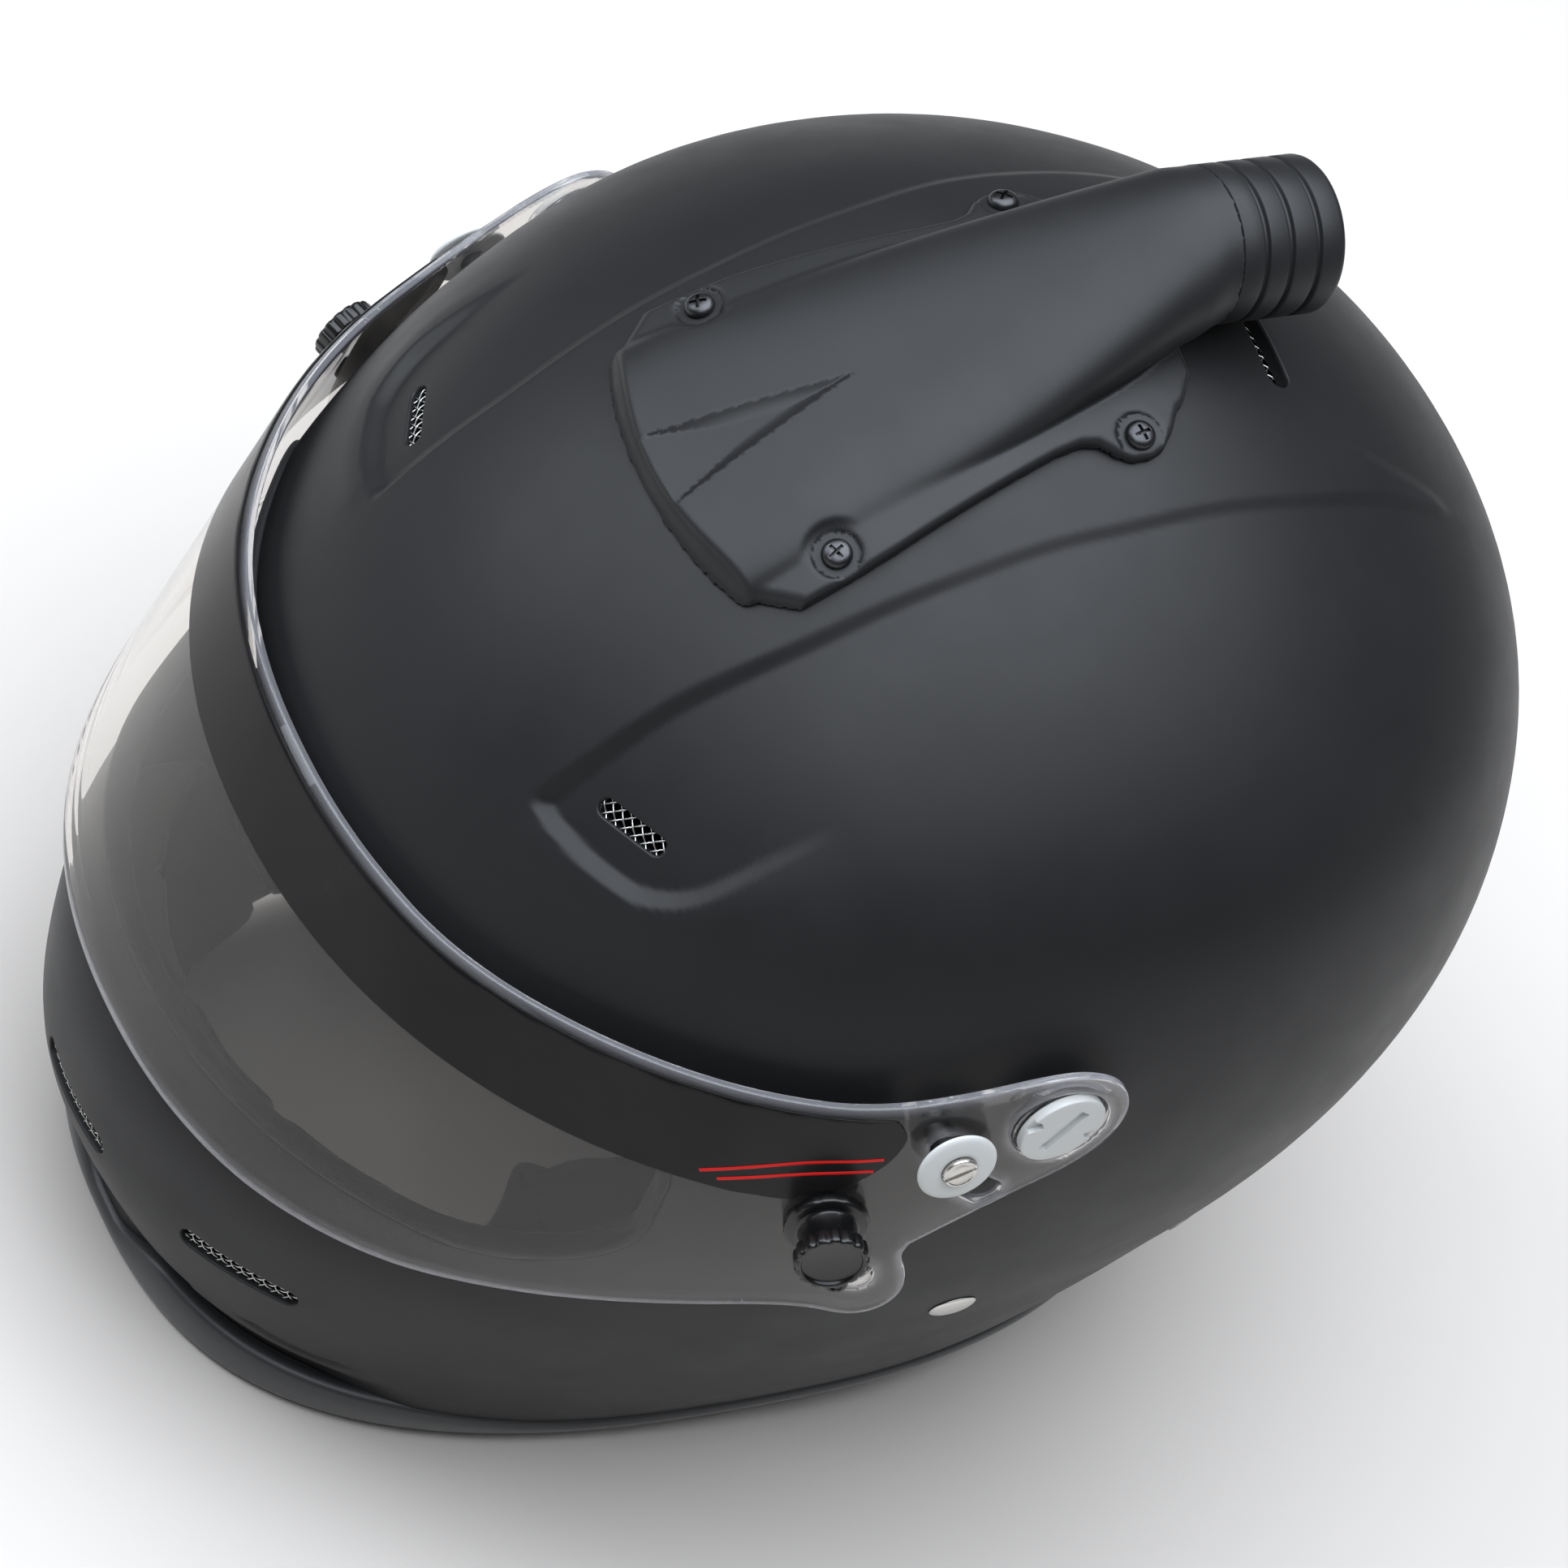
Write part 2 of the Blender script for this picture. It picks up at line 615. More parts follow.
M["satin"] = metal("rivet_satin", (0.60, 0.585, 0.56), (0.70, 0.69, 0.665), 0.34, (1, 1, 1), 0.02)
M["steel"] = metal("screw_steel", (0.50, 0.485, 0.46), (0.66, 0.64, 0.61), 0.26, (1, 1, 3), 0.02)
M["black_steel"] = metal("screw_black_oxide", (0.050, 0.050, 0.053), (0.105, 0.105, 0.11), 0.36, (1, 1, 1), 0.03)
M["wire"] = metal("wire_steel", (0.42, 0.42, 0.41), (0.58, 0.58, 0.565), 0.27, (1, 1, 1), 0.01)
M["insert"] = metal("insert_zinc", (0.40, 0.40, 0.40), (0.55, 0.55, 0.54), 0.38, (1, 1, 1), 0.03)


def cloth(name, dark, light, thread_mm=0.55, sheen=0.35, rough=0.92, lift_mm=0.10, heather=0.35):
    # knitted or woven cover with a thread pattern, lint and slow colour drift
    m, nt, b = mat_base(name)
    v = coords(nt)
    sep = node(nt, "ShaderNodeSeparateXYZ")
    warp = node(nt, "ShaderNodeVectorMath", operation="ADD")
    nz = node(nt, "ShaderNodeTexNoise")
    nz.inputs["Scale"].default_value = 60
    sc = node(nt, "ShaderNodeVectorMath", operation="SCALE")
    sc.inputs["Scale"].default_value = 0.0011
    nt.links.new(v, nz.inputs["Vector"])
    nt.links.new(nz.outputs["Color"], sc.inputs[0])
    nt.links.new(v, warp.inputs[0])
    nt.links.new(sc.outputs[0], warp.inputs[1])
    nt.links.new(warp.outputs[0], sep.inputs[0])
    k = 2 * PI / (thread_mm * 0.001)

    def wave(a, bb, sa, sb):
        ad = node(nt, "ShaderNodeMath", operation="MULTIPLY")
        ad.inputs[1].default_value = k * sa
        nt.links.new(a, ad.inputs[0])
        bd = node(nt, "ShaderNodeMath", operation="MULTIPLY_ADD")
        bd.inputs[1].default_value = k * sb
        nt.links.new(bb, bd.inputs[0])
        nt.links.new(ad.outputs[0], bd.inputs[2])
        s = node(nt, "ShaderNodeMath", operation="SINE")
        nt.links.new(bd.outputs[0], s.inputs[0])
        return s.outputs[0]

    sxy = node(nt, "ShaderNodeMath", operation="ADD")
    nt.links.new(sep.outputs["X"], sxy.inputs[0])
    nt.links.new(sep.outputs["Y"], sxy.inputs[1])
    w1 = wave(sxy.outputs[0], sep.outputs["Z"], 0.7, 0.7)
    w2 = wave(sxy.outputs[0], sep.outputs["Z"], 0.7, -0.7)
    mul = node(nt, "ShaderNodeMath", operation="MULTIPLY")
    nt.links.new(w1, mul.inputs[0])
    nt.links.new(w2, mul.inputs[1])
    ad = node(nt, "ShaderNodeMath", operation="MULTIPLY_ADD")
    ad.inputs[1].default_value = 0.5
    ad.inputs[2].default_value = 0.5
    nt.links.new(mul.outputs[0], ad.inputs[0])
    lint = noise(nt, v, 800, 3, 0.7)
    slow = noise(nt, v, 14, 4, 0.6)
    mx = node(nt, "ShaderNodeMath", operation="MULTIPLY_ADD")
    mx.inputs[1].default_value = heather
    nt.links.new(lint, mx.inputs[0])
    nt.links.new(ad.outputs[0], mx.inputs[2])
    mx2 = node(nt, "ShaderNodeMath", operation="MULTIPLY_ADD")
    mx2.inputs[1].default_value = 0.35
    nt.links.new(slow, mx2.inputs[0])
    nt.links.new(mx.outputs[0], mx2.inputs[2])
    nt.links.new(ramp(nt, mx2.outputs[0], [(0.25, dark), (1.0, light)]), b.inputs["Base Color"])
    rough_map(nt, lint, rough - 0.05, min(1.0, rough + 0.05), b)
    bump(nt, mx.outputs[0], b, 0.8, lift_mm * 0.001)
    b.inputs["Sheen Weight"].default_value = sheen
    b.inputs["Sheen Roughness"].default_value = 0.45
    b.inputs["Specular IOR Level"].default_value = 0.25
    return m


M["knit"] = cloth("lining_knit", (0.022, 0.020, 0.018), (0.062, 0.057, 0.052), 0.8, 0.18)
M["suede"] = cloth("pad_brushed_cloth", (0.027, 0.0235, 0.020), (0.041, 0.0355, 0.030), 0.6, 0.08, 0.95, 0.010, 0.5)
M["trimcloth"] = cloth("neck_roll_cloth", (0.012, 0.012, 0.012), (0.035, 0.034, 0.034), 1.0, 0.35)
M["webbing"] = cloth("strap_webbing_weave", (0.008, 0.008, 0.009), (0.030, 0.030, 0.032), 1.3, 0.3, 0.85, 0.22, 0.2)


def foam_beads(name, dark, light):
    m, nt, b = mat_base(name)
    v = coords(nt)
    vo = node(nt, "ShaderNodeTexVoronoi")
    vo.inputs["Scale"].default_value = 420
    nt.links.new(v, vo.inputs["Vector"])
    nt.links.new(ramp(nt, vo.outputs["Distance"], [(0.0, light), (0.7, dark)]), b.inputs["Base Color"])
    inv = node(nt, "ShaderNodeMath", operation="MULTIPLY")
    inv.inputs[1].default_value = -1.0
    nt.links.new(vo.outputs["Distance"], inv.inputs[0])
    fine = noise(nt, v, 500, 3, 0.6)
    rough_map(nt, fine, 0.62, 0.78, b)
    bump(nt, inv.outputs[0], b, 0.6, 0.0003)
    return m


M["eps"] = foam_beads("liner_bead_foam", (0.010, 0.010, 0.010), (0.024, 0.024, 0.024))


def clear_plastic(name, haze=0.009, edge=0.18):
    # clear moulded sheet with a faint film of dust and fine wiping scratches
    m, nt, b = mat_base(name)
    v = coords(nt)
    b.inputs["Base Color"].default_value = (0.86, 0.832, 0.795, 1)
    b.inputs["Transmission Weight"].default_value = 1.0
    smear = noise(nt, v, 22, 4, 0.6, 1.5)
    rough_map(nt, smear, 0.0, 0.035, b, 0.45, 0.85)
    out = nt.nodes["Material Output"]
    dust = node(nt, "ShaderNodeBsdfDiffuse")
    dust.inputs["Color"].default_value = (0.68, 0.68, 0.73, 1)
    big = noise(nt, v, 17, 5, 0.62, 0.8)
    small = noise(nt, v, 420, 3, 0.7)
    mr = node(nt, "ShaderNodeMapRange")
    mr.inputs["From Min"].default_value = 0.30
    mr.inputs["From Max"].default_value = 0.75
    mr.inputs["To Min"].default_value = haze * 0.45
    mr.inputs["To Max"].default_value = haze * 1.9
    nt.links.new(big, mr.inputs["Value"])
    # fine scratches: stretched noise, kept to its thin peaks
    mp = node(nt, "ShaderNodeMapping")
    mp.inputs["Rotation"].default_value = (0.4, 0.9, 0.6)
    mp.inputs["Scale"].default_value = (9, 900, 900)
    nt.links.new(v, mp.inputs["Vector"])
    sn = noise(nt, mp.outputs["Vector"], 1.0, 2, 0.5)
    sr = node(nt, "ShaderNodeMapRange")
    sr.inputs["From Min"].default_value = 0.74
    sr.inputs["From Max"].default_value = 0.80
    sr.inputs["To Min"].default_value = 0.0
    sr.inputs["To Max"].default_value = 0.16
    nt.links.new(sn, sr.inputs["Value"])
    spk = node(nt, "ShaderNodeMapRange")
    spk.inputs["From Min"].default_value = 0.76
    spk.inputs["From Max"].default_value = 0.80
    spk.inputs["To Min"].default_value = 0.0
    spk.inputs["To Max"].default_value = 0.30
    nt.links.new(small, spk.inputs["Value"])
    a1 = node(nt, "ShaderNodeMath", operation="ADD")
    a2 = node(nt, "ShaderNodeMath", operation="ADD", use_clamp=True)
    nt.links.new(mr.outputs["Result"], a1.inputs[0])
    nt.links.new(sr.outputs["Result"], a1.inputs[1])
    nt.links.new(a1.outputs[0], a2.inputs[0])
    nt.links.new(spk.outputs["Result"], a2.inputs[1])
    # cut edges and hole rims are paler than the sheet
    rim = node(nt, "ShaderNodeAttribute", attribute_name="cut_edge")
    bend = node(nt, "ShaderNodeMath", operation="MULTIPLY_ADD")
    bend.inputs[1].default_value = 0.14
    bend.inputs[2].default_value = 1.32
    nt.links.new(rim.outputs["Fac"], bend.inputs[0])
    nt.links.new(bend.outputs[0], b.inputs["IOR"])
    a3 = node(nt, "ShaderNodeMath", operation="MULTIPLY_ADD", use_clamp=True)
    a3.inputs[1].default_value = edge
    nt.links.new(rim.outputs["Fac"], a3.inputs[0])
    nt.links.new(a2.outputs[0], a3.inputs[2])
    mix = node(nt, "ShaderNodeMixShader")
    nt.links.new(a3.outputs[0], mix.inputs["Fac"])
    nt.links.new(b.outputs[0], mix.inputs[1])
    nt.links.new(dust.outputs[0], mix.inputs[2])
    nt.links.new(mix.outputs[0], out.inputs["Surface"])
    return m


M["visor"] = clear_plastic("visor_clear_sheet")


def film(name, dark, light, alpha, rough=0.22):
    m, nt, b = mat_base(name)
    v = coords(nt)
    slow = noise(nt, v, 30, 5, 0.65)
    fine = noise(nt, v, 1600, 2, 0.6)
    nt.links.new(ramp(nt, slow, [(0.3, dark), (0.75, light)]), b.inputs["Base Color"])
    rough_map(nt, slow, rough - 0.03, rough + 0.06, b)
    bump(nt, fine, b, 0.2, 0.00001)
    b.inputs["Alpha"].default_value = alpha
    b.inputs["Specular IOR Level"].default_value = 0.18
    return m


M["strip"] = film("strip_tinted_film", (0.007, 0.0065, 0.007), (0.014, 0.013, 0.0135), 0.93)
M["red"] = film("pinstripe_red_vinyl", (0.55, 0.010, 0.008), (0.72, 0.016, 0.012), 1.0, 0.35)


# ---------------------------------------------------------------- outer shell
CREASE = Line([(42.8, -112, 174.9), (43.3, -102.2, 187.9), (43.6, -90.1, 201.1), (45.2, -77, 211.7), (46.4, -65.4, 219.7),
               (47, -49.6, 229.2), (47.6, -33.8, 236.7), (48, -16.7, 243), (48.9, 1, 246.7), (48.1, 21, 247.9),
               (47, 42.9, 245.3), (43.9, 68.7, 237.3), (42.5, 82.6, 230.7), (40.8, 96.8, 221.8)])
BRANCH = Line([(42.9, -112.5, 174.1), (53.4, -109, 172.6), (64.6, -103.1, 172.1), (70.6, -98.3, 173.2), (75.5, -91, 178.1),
               (77.7, -80.5, 188.4), (79.4, -66.5, 200.2)])
TAIL = Line([(31.6, 58.9, 245.6), (35.2, 72.5, 238.4), (37.3, 85.1, 230.9), (39.3, 94.5, 224.0)])
TRIM_H = 6.3
SLIT = Line([(46.0, -137.0, 12.2), (52.5, -132.0, 11.2), (60.5, -123.2, 10.4), (66.3, -117.0, 11.4), (72.0, -109.5, 13.2)], grow=0)


def lip_rise(P):
    # the rubber lip grows taller beside the chin and thins again along the sides
    return 6.6 * smooth(4, 27, np.abs(P[:, 0])) * (1 - smooth(-104, -52, P[:, 1]))


def relief(P, N):
    # moulded creases and recesses of the shell, mm along the normal
    sx = np.where(P[:, 0] < 0, -1.0, 1.0)[:, None]
    Q = P * np.concatenate([sx, np.ones_like(sx), np.ones_like(sx)], 1)
    K = N * np.concatenate([sx, np.ones_like(sx), np.ones_like(sx)], 1)
    out = np.zeros(len(P))
    top = Q[:, 2] > 150
    if top.any():
        q, k = Q[top], K[top]
        d1, s1 = CREASE.near(q, k)
        d2, s2 = BRANCH.near(q, k)
        d2 = -d2
        amp = np.interp(s1, [-30, 0, 25, 60, 100, 150, 200, 228, 245], [2.6, 2.6, 2.4, 1.7, 1.15, 0.9, 0.75, 0.35, 0.0])
        wid = np.interp(s1, [0, 30, 70, 130, 220], [5.0, 4.9, 4.6, 4.2, 3.8])
        s_1 = smooth(-0.5, 0.5, d1 / wid)
        fall = 1 - smooth(30, 84, d1)
        fade = 1 - smooth(42, 76, s2)
        s_2 = smooth(-0.5, 0.5, d2 / np.interp(s2, [0, 40, 75], [4.2, 4.6, 3.6]))
        # a soft swell along the branch's outer shoulder
        sw = 0.35 * np.exp(-(((d2 + 5.5) / 4.5) ** 2)) * fade * smooth(-6, 6, s2) * smooth(-2, 6, d1)
        r = -amp * s_1 * fall * (1 - fade * (1 - s_2)) + sw
        d3, s3 = TAIL.near(q, k)
        wedge = smooth(-2.0, 2.0, d3) * (1 - s_1) * smooth(-12, 14, s3) * (1 - smooth(36, 44, s3)) * (q[:, 1] > 30)
        out[top] += r + 0.42 * wedge
    low = (Q[:, 2] < 40) & (Q[:, 1] < -60)
    if low.any():
        q, k = Q[low], K[low]
        d, s = SLIT.near(q, k)
        out[low] -= 0.85 * np.exp(-((d / 0.75) ** 2)) * smooth(0, 8, s) * (1 - smooth(24, 36, s))
        # tuck above the lip
        up = q[:, 2] - edge_z(q[:, 1]) - TRIM_H - lip_rise(q)
        out[low] -= 3.3 * smooth(4, 26, q[:, 0]) * (1 - smooth(-122, -96, q[:, 1])) * smooth(-8, -1, up) * (1 - smooth(0.5, 10.5, up))
    return out


def shell_pos(u, th):
    P, N = skin(u, th), skin_n(u, th)
    return P + N * relief(P, N)[:, None]


def edge_curve(extra):
    # lower edge in side view: y -> level
    return spline([-128, -100, -60, -20, 20, 50, 78, 100, 112], [v + extra for v in (-14.5, -13.2, -8.5, -0.5, 5.5, 5.5, -1.0, -10.0, -14.5)])


EDGE = edge_curve(0.0)


def edge_z(y):
    return EDGE(np.clip(y, -128, 112))


class Slot:
    """Round-ended slot on the shell, in its own tangent plane."""

    def __init__(self, origin, normal, run, length, width, lip=0.9, depth=3.2):
        self.o, self.n = origin, normal
        self.x = unit(run - (run @ normal) * normal)
        self.y = np.cross(normal, self.x)
        self.half, self.r = length / 2 - width / 2, width / 2
        self.lip, self.depth = lip, depth

    def sd(self, P):
        v = P - self.o
        a, b, h = v @ self.x, v @ self.y, v @ self.n
        d = np.hypot(a - np.clip(a, -self.half, self.half), b) - self.r
        return np.where(np.abs(h) < 22, d, 60.0)


def front_slot(x, z, ln, w):
    p, n = front_foot(x, z)
    return Slot(p, n, np.cross([0, 0, 1.0], n), ln, w, 0.5)


SLOTS = [front_slot(0, 33.5, 31, 5.8), front_slot(51.5, 33.5, 29.5, 5.8), front_slot(-51.5, 33.5, 29.5, 5.8),
         front_slot(58, 181.5, 17.4, 4.2), front_slot(-58, 181.5, 17.4, 4.2)]
for s_ in SLOTS[3:]:
    s_.o = s_.o - 2.2 * s_.n
rp, rn = top_foot(0.0, 51.0)
SLOTS.append(Slot(rp, rn, np.array([1.0, 0, 0]), 42.0, 5.5, 0.7))
PORT = (101.0, 75.0, 139.0, 27.0)


def port_sd(P, N, grow=0.0):
    # distance outside the face opening, measured in the surface
    hw, lo, hi, r = PORT
    qx, qz = np.abs(P[..., 0]) - (hw - r), np.abs(P[..., 2] - (lo + hi) / 2) - ((hi - lo) / 2 - r)
    mx, mz = np.maximum(qx, 0), np.maximum(qz, 0)
    ln = np.hypot(mx, mz)
    d = ln + np.minimum(np.maximum(qx, qz), 0) - r
    gx = np.where(ln > 1e-6, mx / np.maximum(ln, 1e-9), (qx > qz).astype(float)) * np.sign(P[..., 0])
    gz = np.where(ln > 1e-6, mz / np.maximum(ln, 1e-9), (qx <= qz).astype(float)) * np.sign(P[..., 2] - (lo + hi) / 2)
    t = np.sqrt(np.clip(1 - (gx * N[..., 0] + gz * N[..., 2]) ** 2, 0.05, 1))
    return np.where(P[..., 1] > -40, 60.0, (d - grow) / t)


def shell_phi(u, th):
    P, N = skin(u, th), skin_n(u, th)
    ds = [port_sd(P, N) - 1.2]
    ds += [s.sd(P) - s.lip for s in SLOTS]
    ds.append(P[:, 2] - edge_z(P[:, 1]) - 5.6)
    return np.minimum.reduce(ds)


def shell_want(P):
    Q = P * [1, 1, 1]
    Q[:, 0] = np.abs(Q[:, 0])
    w = np.full(len(P), 5.0)
    for s in SLOTS:
        w = np.minimum(w, 0.7 + 0.35 * np.maximum(np.abs(s.sd(P)) - 1.5, 0))
    pd = port_sd(P, np.broadcast_to([0, -1.0, 0], P.shape))
    w = np.minimum(w, 1.5 + 0.3 * np.abs(pd))
    w = np.minimum(w, 1.8 + 0.3 * np.abs(P[:, 2] - edge_z(P[:, 1]) - 5.6))
    top = Q[:, 2] > 145
    if top.any():
        q = Q[top]
        n = unit(q * [1, 0.9, 1] - [0, 10, 90])
        d1, s1 = CREASE.near(q, n)
        d2, s2 = BRANCH.near(q, n)
        live = np.where((s1 > 245) | (s1 < -4), 60, np.abs(d1))
        w1 = 1.0 + 0.3 * np.maximum(live - 3.5, 0)
        live = np.where((s2 > 84) | (s2 < -4), 60, np.abs(d2))
        w2 = 1.0 + 0.3 * np.maximum(live - 4, 0)
        w[top] = np.minimum(w[top], np.minimum(w1, w2))
    low = (Q[:, 2] < 45) & (Q[:, 1] < -90)
    if low.any():
        q = Q[low]
        d, s = SLIT.near(q, unit(q * [1, 1, 0] + [0, 0, -20]))
        w[low] = np.minimum(w[low], 0.45 + 0.35 * np.maximum(np.abs(d) - 1.5, 0))
    return w


U_END = float(meridian(-16.0))
patch = Patch(shell_pos, shell_phi, shell_want, (0.02, U_END), (-1.5 * PI, 0.5 * PI), 40, 96, levels=3, wrap=True)


def shell_lip(P):
    d = np.stack([np.abs(s.sd(P)) for s in SLOTS] + [np.full(len(P), 4.0)], 1)
    i = d.argmin(1)
    return np.where(i == len(SLOTS), 1.2, np.array([s.lip for s in SLOTS] + [1.2])[i])


V, F, NN, _ = rimmed(patch, shell_lip, 3.2)
# close the small ring left at the pole, under the scoop
pole = np.where(patch.a < 0.02 + 1e-6)[0]
pole = pole[np.argsort(np.arctan2(V[pole, 1], V[pole, 0]))]
F.append([int(i) for i in pole])
place("shell_moulding", V, F, M["shell"], "shell", normals=NN, instead=["outer_shell"])
print("shell faces", len(F))


# ------------------------------------------------------------ lower edge trim


def sweep_ring(centre_pts, frames, profile, closed=True):
    """Closed profile (list of (d, h)) carried along points with (N, D) frames."""
    n, m = len(centre_pts), len(profile)
    prof = np.array(profile)
    if prof.ndim == 2:
        prof = np.broadcast_to(prof, (n, m, 2))
    m = prof.shape[1]
    Nf, Df = frames
    V = centre_pts[:, None] + prof[..., :1] * Nf[:, None] + prof[..., 1:] * Df[:, None]
    F = []
    for i in range(n if closed else n - 1):
        i2 = (i + 1) % n
        for k in range(m):
            k2 = (k + 1) % m
            F.append([i * m + k, i2 * m + k, i2 * m + k2, i * m + k2])
    if not closed:
        F.append(list(range(m)))
        F.append(list(range((n - 1) * m, n * m))[::-1])
    return V.reshape(-1, 3), F


def edge_points(n=420):
    th = np.linspace(0, 2 * PI, n, endpoint=False)
    u = np.full(n, float(meridian(-8.0)))
    for _ in range(40):
        y = skin(u, th)[:, 1]
        u = u + 0.7 * (meridian(edge_z(y)) - u)
    return u, th


eu, eth = edge_points()
eP = skin(eu, eth)
eN = skin_n(eu, eth)
eT = unit(np.roll(eP, -1, 0) - np.roll(eP, 1, 0))
eN = unit(eN - (eN * eT).sum(1, keepdims=True) * eT)
eD = unit(np.cross(eN, eT))
eD = np.where(eD[:, 2:] < 0, -eD, eD)
proud = 1.7 + 0.5 * (1 - smooth(-128, -70, eP[:, 1])) + 0.4 * smooth(20, 110, eP[:, 1])
tall = TRIM_H + lip_rise(eP)
prof = []
for p_, h_ in zip(proud, tall):
    c, a = (p_ - 4.2) / 2, (p_ + 4.2) / 2
    t = np.linspace(0, 2 * PI, 26, endpoint=False)
    hx, hy = spow(np.cos(t), 0.72), spow(np.sin(t), 0.80)
    prof.append(np.stack([c + a * hx, h_ / 2 + h_ / 2 * hy + 0.05 * (p_ - 1.7) * hx], -1))
V, F = sweep_ring(eP, (eN, eD), np.array(prof))
V[:, 2] = np.maximum(V[:, 2], -14.5)
place("edge_trim_rubber", V, F, M["lip"], "shell", instead=["edge_trim"])

# ------------------------------------------------------------- eyeport gasket


def front_points(x, z):
    u = meridian(z)
    lo, hi = np.full(x.shape, -PI / 2), np.zeros(x.shape)
    for _ in range(48):
        mid = (lo + hi) / 2
        less = skin(u, mid)[:, 0] < np.abs(x)
        hi = np.where(less, hi, mid)
        lo = np.where(less, mid, lo)
    th = (lo + hi) / 2
    P, N = skin(u, th), skin_n(u, th)
    m = np.where(x < 0, -1.0, 1.0)
    P, N = P.copy(), N.copy()
    P[:, 0] *= m
    N[:, 0] *= m
    return P, N


def round_rect(hw, lo, hi, r, inset=0.0, step=1.6):
    hw, lo, hi, r = hw - inset, lo + inset, hi - inset, r - inset
    pts = []
    cx, c0, c1 = hw - r, lo + r, hi - r
    for (ox, oz, a0) in ((cx, c1, 0), (-cx, c1, 90), (-cx, c0, 180), (cx, c0, 270)):
        k = max(4, int(r * PI / 2 / step))
        for i in range(k):
            a = math.radians(a0 + 90 * i / k)
            pts.append((ox + r * math.cos(a), oz + r * math.sin(a)))
        nxt = {0: (-cx, hi), 90: (-hw, c0), 180: (cx, lo), 270: (hw, c1)}[a0]
        last = (ox + r * math.cos(math.radians(a0 + 90)), oz + r * math.sin(math.radians(a0 + 90)))
        ln = math.hypot(nxt[0] - last[0], nxt[1] - last[1])
        kk = max(1, int(ln / (step * 1.6)))
        for i in range(kk):
            pts.append((last[0] + (nxt[0] - last[0]) * i / kk, last[1] + (nxt[1] - last[1]) * i / kk))
    return np.array(pts)


gq = round_rect(*PORT, inset=0.0)
gP, gN = front_points(gq[:, 0], gq[:, 1])
gT = unit(np.roll(gP, -1, 0) - np.roll(gP, 1, 0))
gN = unit(gN - (gN * gT).sum(1, keepdims=True) * gT)
gI = np.cross(gN, gT)
gI *= np.sign(((np.array([0, -120, 107.0]) - gP) * gI).sum(1))[:, None]
t = np.linspace(0, 2 * PI, 28, endpoint=False)
gprof = np.stack([-2.1 + 3.05 * spow(np.cos(t), 0.7), 1.25 + 1.55 * spow(np.sin(t), 0.6)], -1)
V, F = sweep_ring(gP, (gN, gI), gprof)
place("eyeport_gasket_rubber", V, F, M["gasket"], "shell", instead=["eyeport_gasket"])


# -------------------------------------------------------------------- visor
V_HALF, V_N, V_YC, V_REACH, V_RAKE, V_T = 131.3, 2.15, 5.0, 163.5, 22.0 / 78.0, 3.0
PIVOT = (-21.0, 153.5)
LIM_R, LIM_A, LIM_W = 23.6, 199.6, 7.2
POST = (-61.5, 120.9)
TAB = (-49.5, 103.1)
TOP_EDGE = [(-176, 146.6), (-141, 146.6), (-132.7, 146.3), (-124.9, 147.0), (-113.8, 148.5), (-101.2, 149.8),
            (-87.6, 151.0), (-76.1, 152.3), (-65.6, 153.9), (-55.1, 157.0), (-43.2, 161.9), (-30.5, 167.2),
            (-21.0, 169.0), (-12.5, 166.5), (-7.2, 160.6), (-5.6, 153.3), (-7.6, 145.6), (-13.2, 138.6),
            (-25.0, 129.0), (-34.0, 120.6), (-40.8, 113.6)]
LOW_EDGE = [(-40.8, 113.6), (-41.2, 109.6), (-38.4, 103.6), (-37.4, 97.0), (-40.6, 91.6), (-47.0, 89.4),
            (-56.5, 91.0), (-66.0, 90.6), (-78.0, 88.0), (-94.7, 83.3), (-115.5, 76.6), (-131.1, 71.6),
            (-146.5, 68.2), (-157.0, 66.8), (-176, 66.4)]
STRIP_TOP = [(-176, 144.6), (-141, 144.6), (-132.7, 144.3), (-124.9, 145.0), (-113.8, 146.5), (-101.2, 147.8), (-87.6, 149.0),
             (-76.1, 150.2), (-65.6, 151.6), (-56.5, 153.6)]
STRIP_REST = [(-56.5, 153.6), (-53.2, 149.0), (-54.6, 141.0), (-59.5, 133.5), (-68.0, 126.5), (-81.2, 124.6), (-176, 124.4)]
VISOR_OUT = np.vstack([catmull(TOP_EDGE, 5)[:-1], catmull(LOW_EDGE, 5)])
STRIP_OUT = np.vstack([catmull(STRIP_TOP, 4)[:-1], catmull(STRIP_REST[:-1], 4), [STRIP_REST[-1]]])
ZTOP, ZSPAN = 180.0, 129.1


def v_base(a, th, d=0.0):
    z = ZTOP - ZSPAN * np.asarray(a, float)
    c, s = np.cos(th), np.sin(th)
    reach = V_YC + V_REACH - (z - 67) * V_RAKE + d
    return np.stack([(V_HALF + d) * spow(c, 2 / V_N), V_YC + reach * spow(s, 2 / V_N), z], -1)


def v_n(a, th):
    return normal_of(lambda p, q: v_base(p, q), a, th)


def side_dist(P, N, pts):
    # distance to an outline drawn in side view, measured in the surface, positive inside
    Q = P[:, 1:3]
    f = poly_sd(Q, pts)
    e = 0.4
    fy = (poly_sd(Q + [e, 0], pts) - f) / e
    fz = (poly_sd(Q + [0, e], pts) - f) / e
    g2 = fy**2 + fz**2 - (fy * N[:, 1] + fz * N[:, 2]) ** 2
    return f / np.sqrt(np.clip(g2, 0.06, 1.2))


def arc_dist(Q):
    # distance from the centre line of the limiter slot
    v = Q - np.array(PIVOT)
    ang = np.degrees(np.arctan2(v[:, 1], v[:, 0])) % 360
    k = np.radians(np.clip(ang, LIM_A - 1.0, LIM_A + 46.0))
    c = np.array(PIVOT) + LIM_R * np.stack([np.cos(k), np.sin(k)], -1)
    return np.hypot(*(Q - c).T)


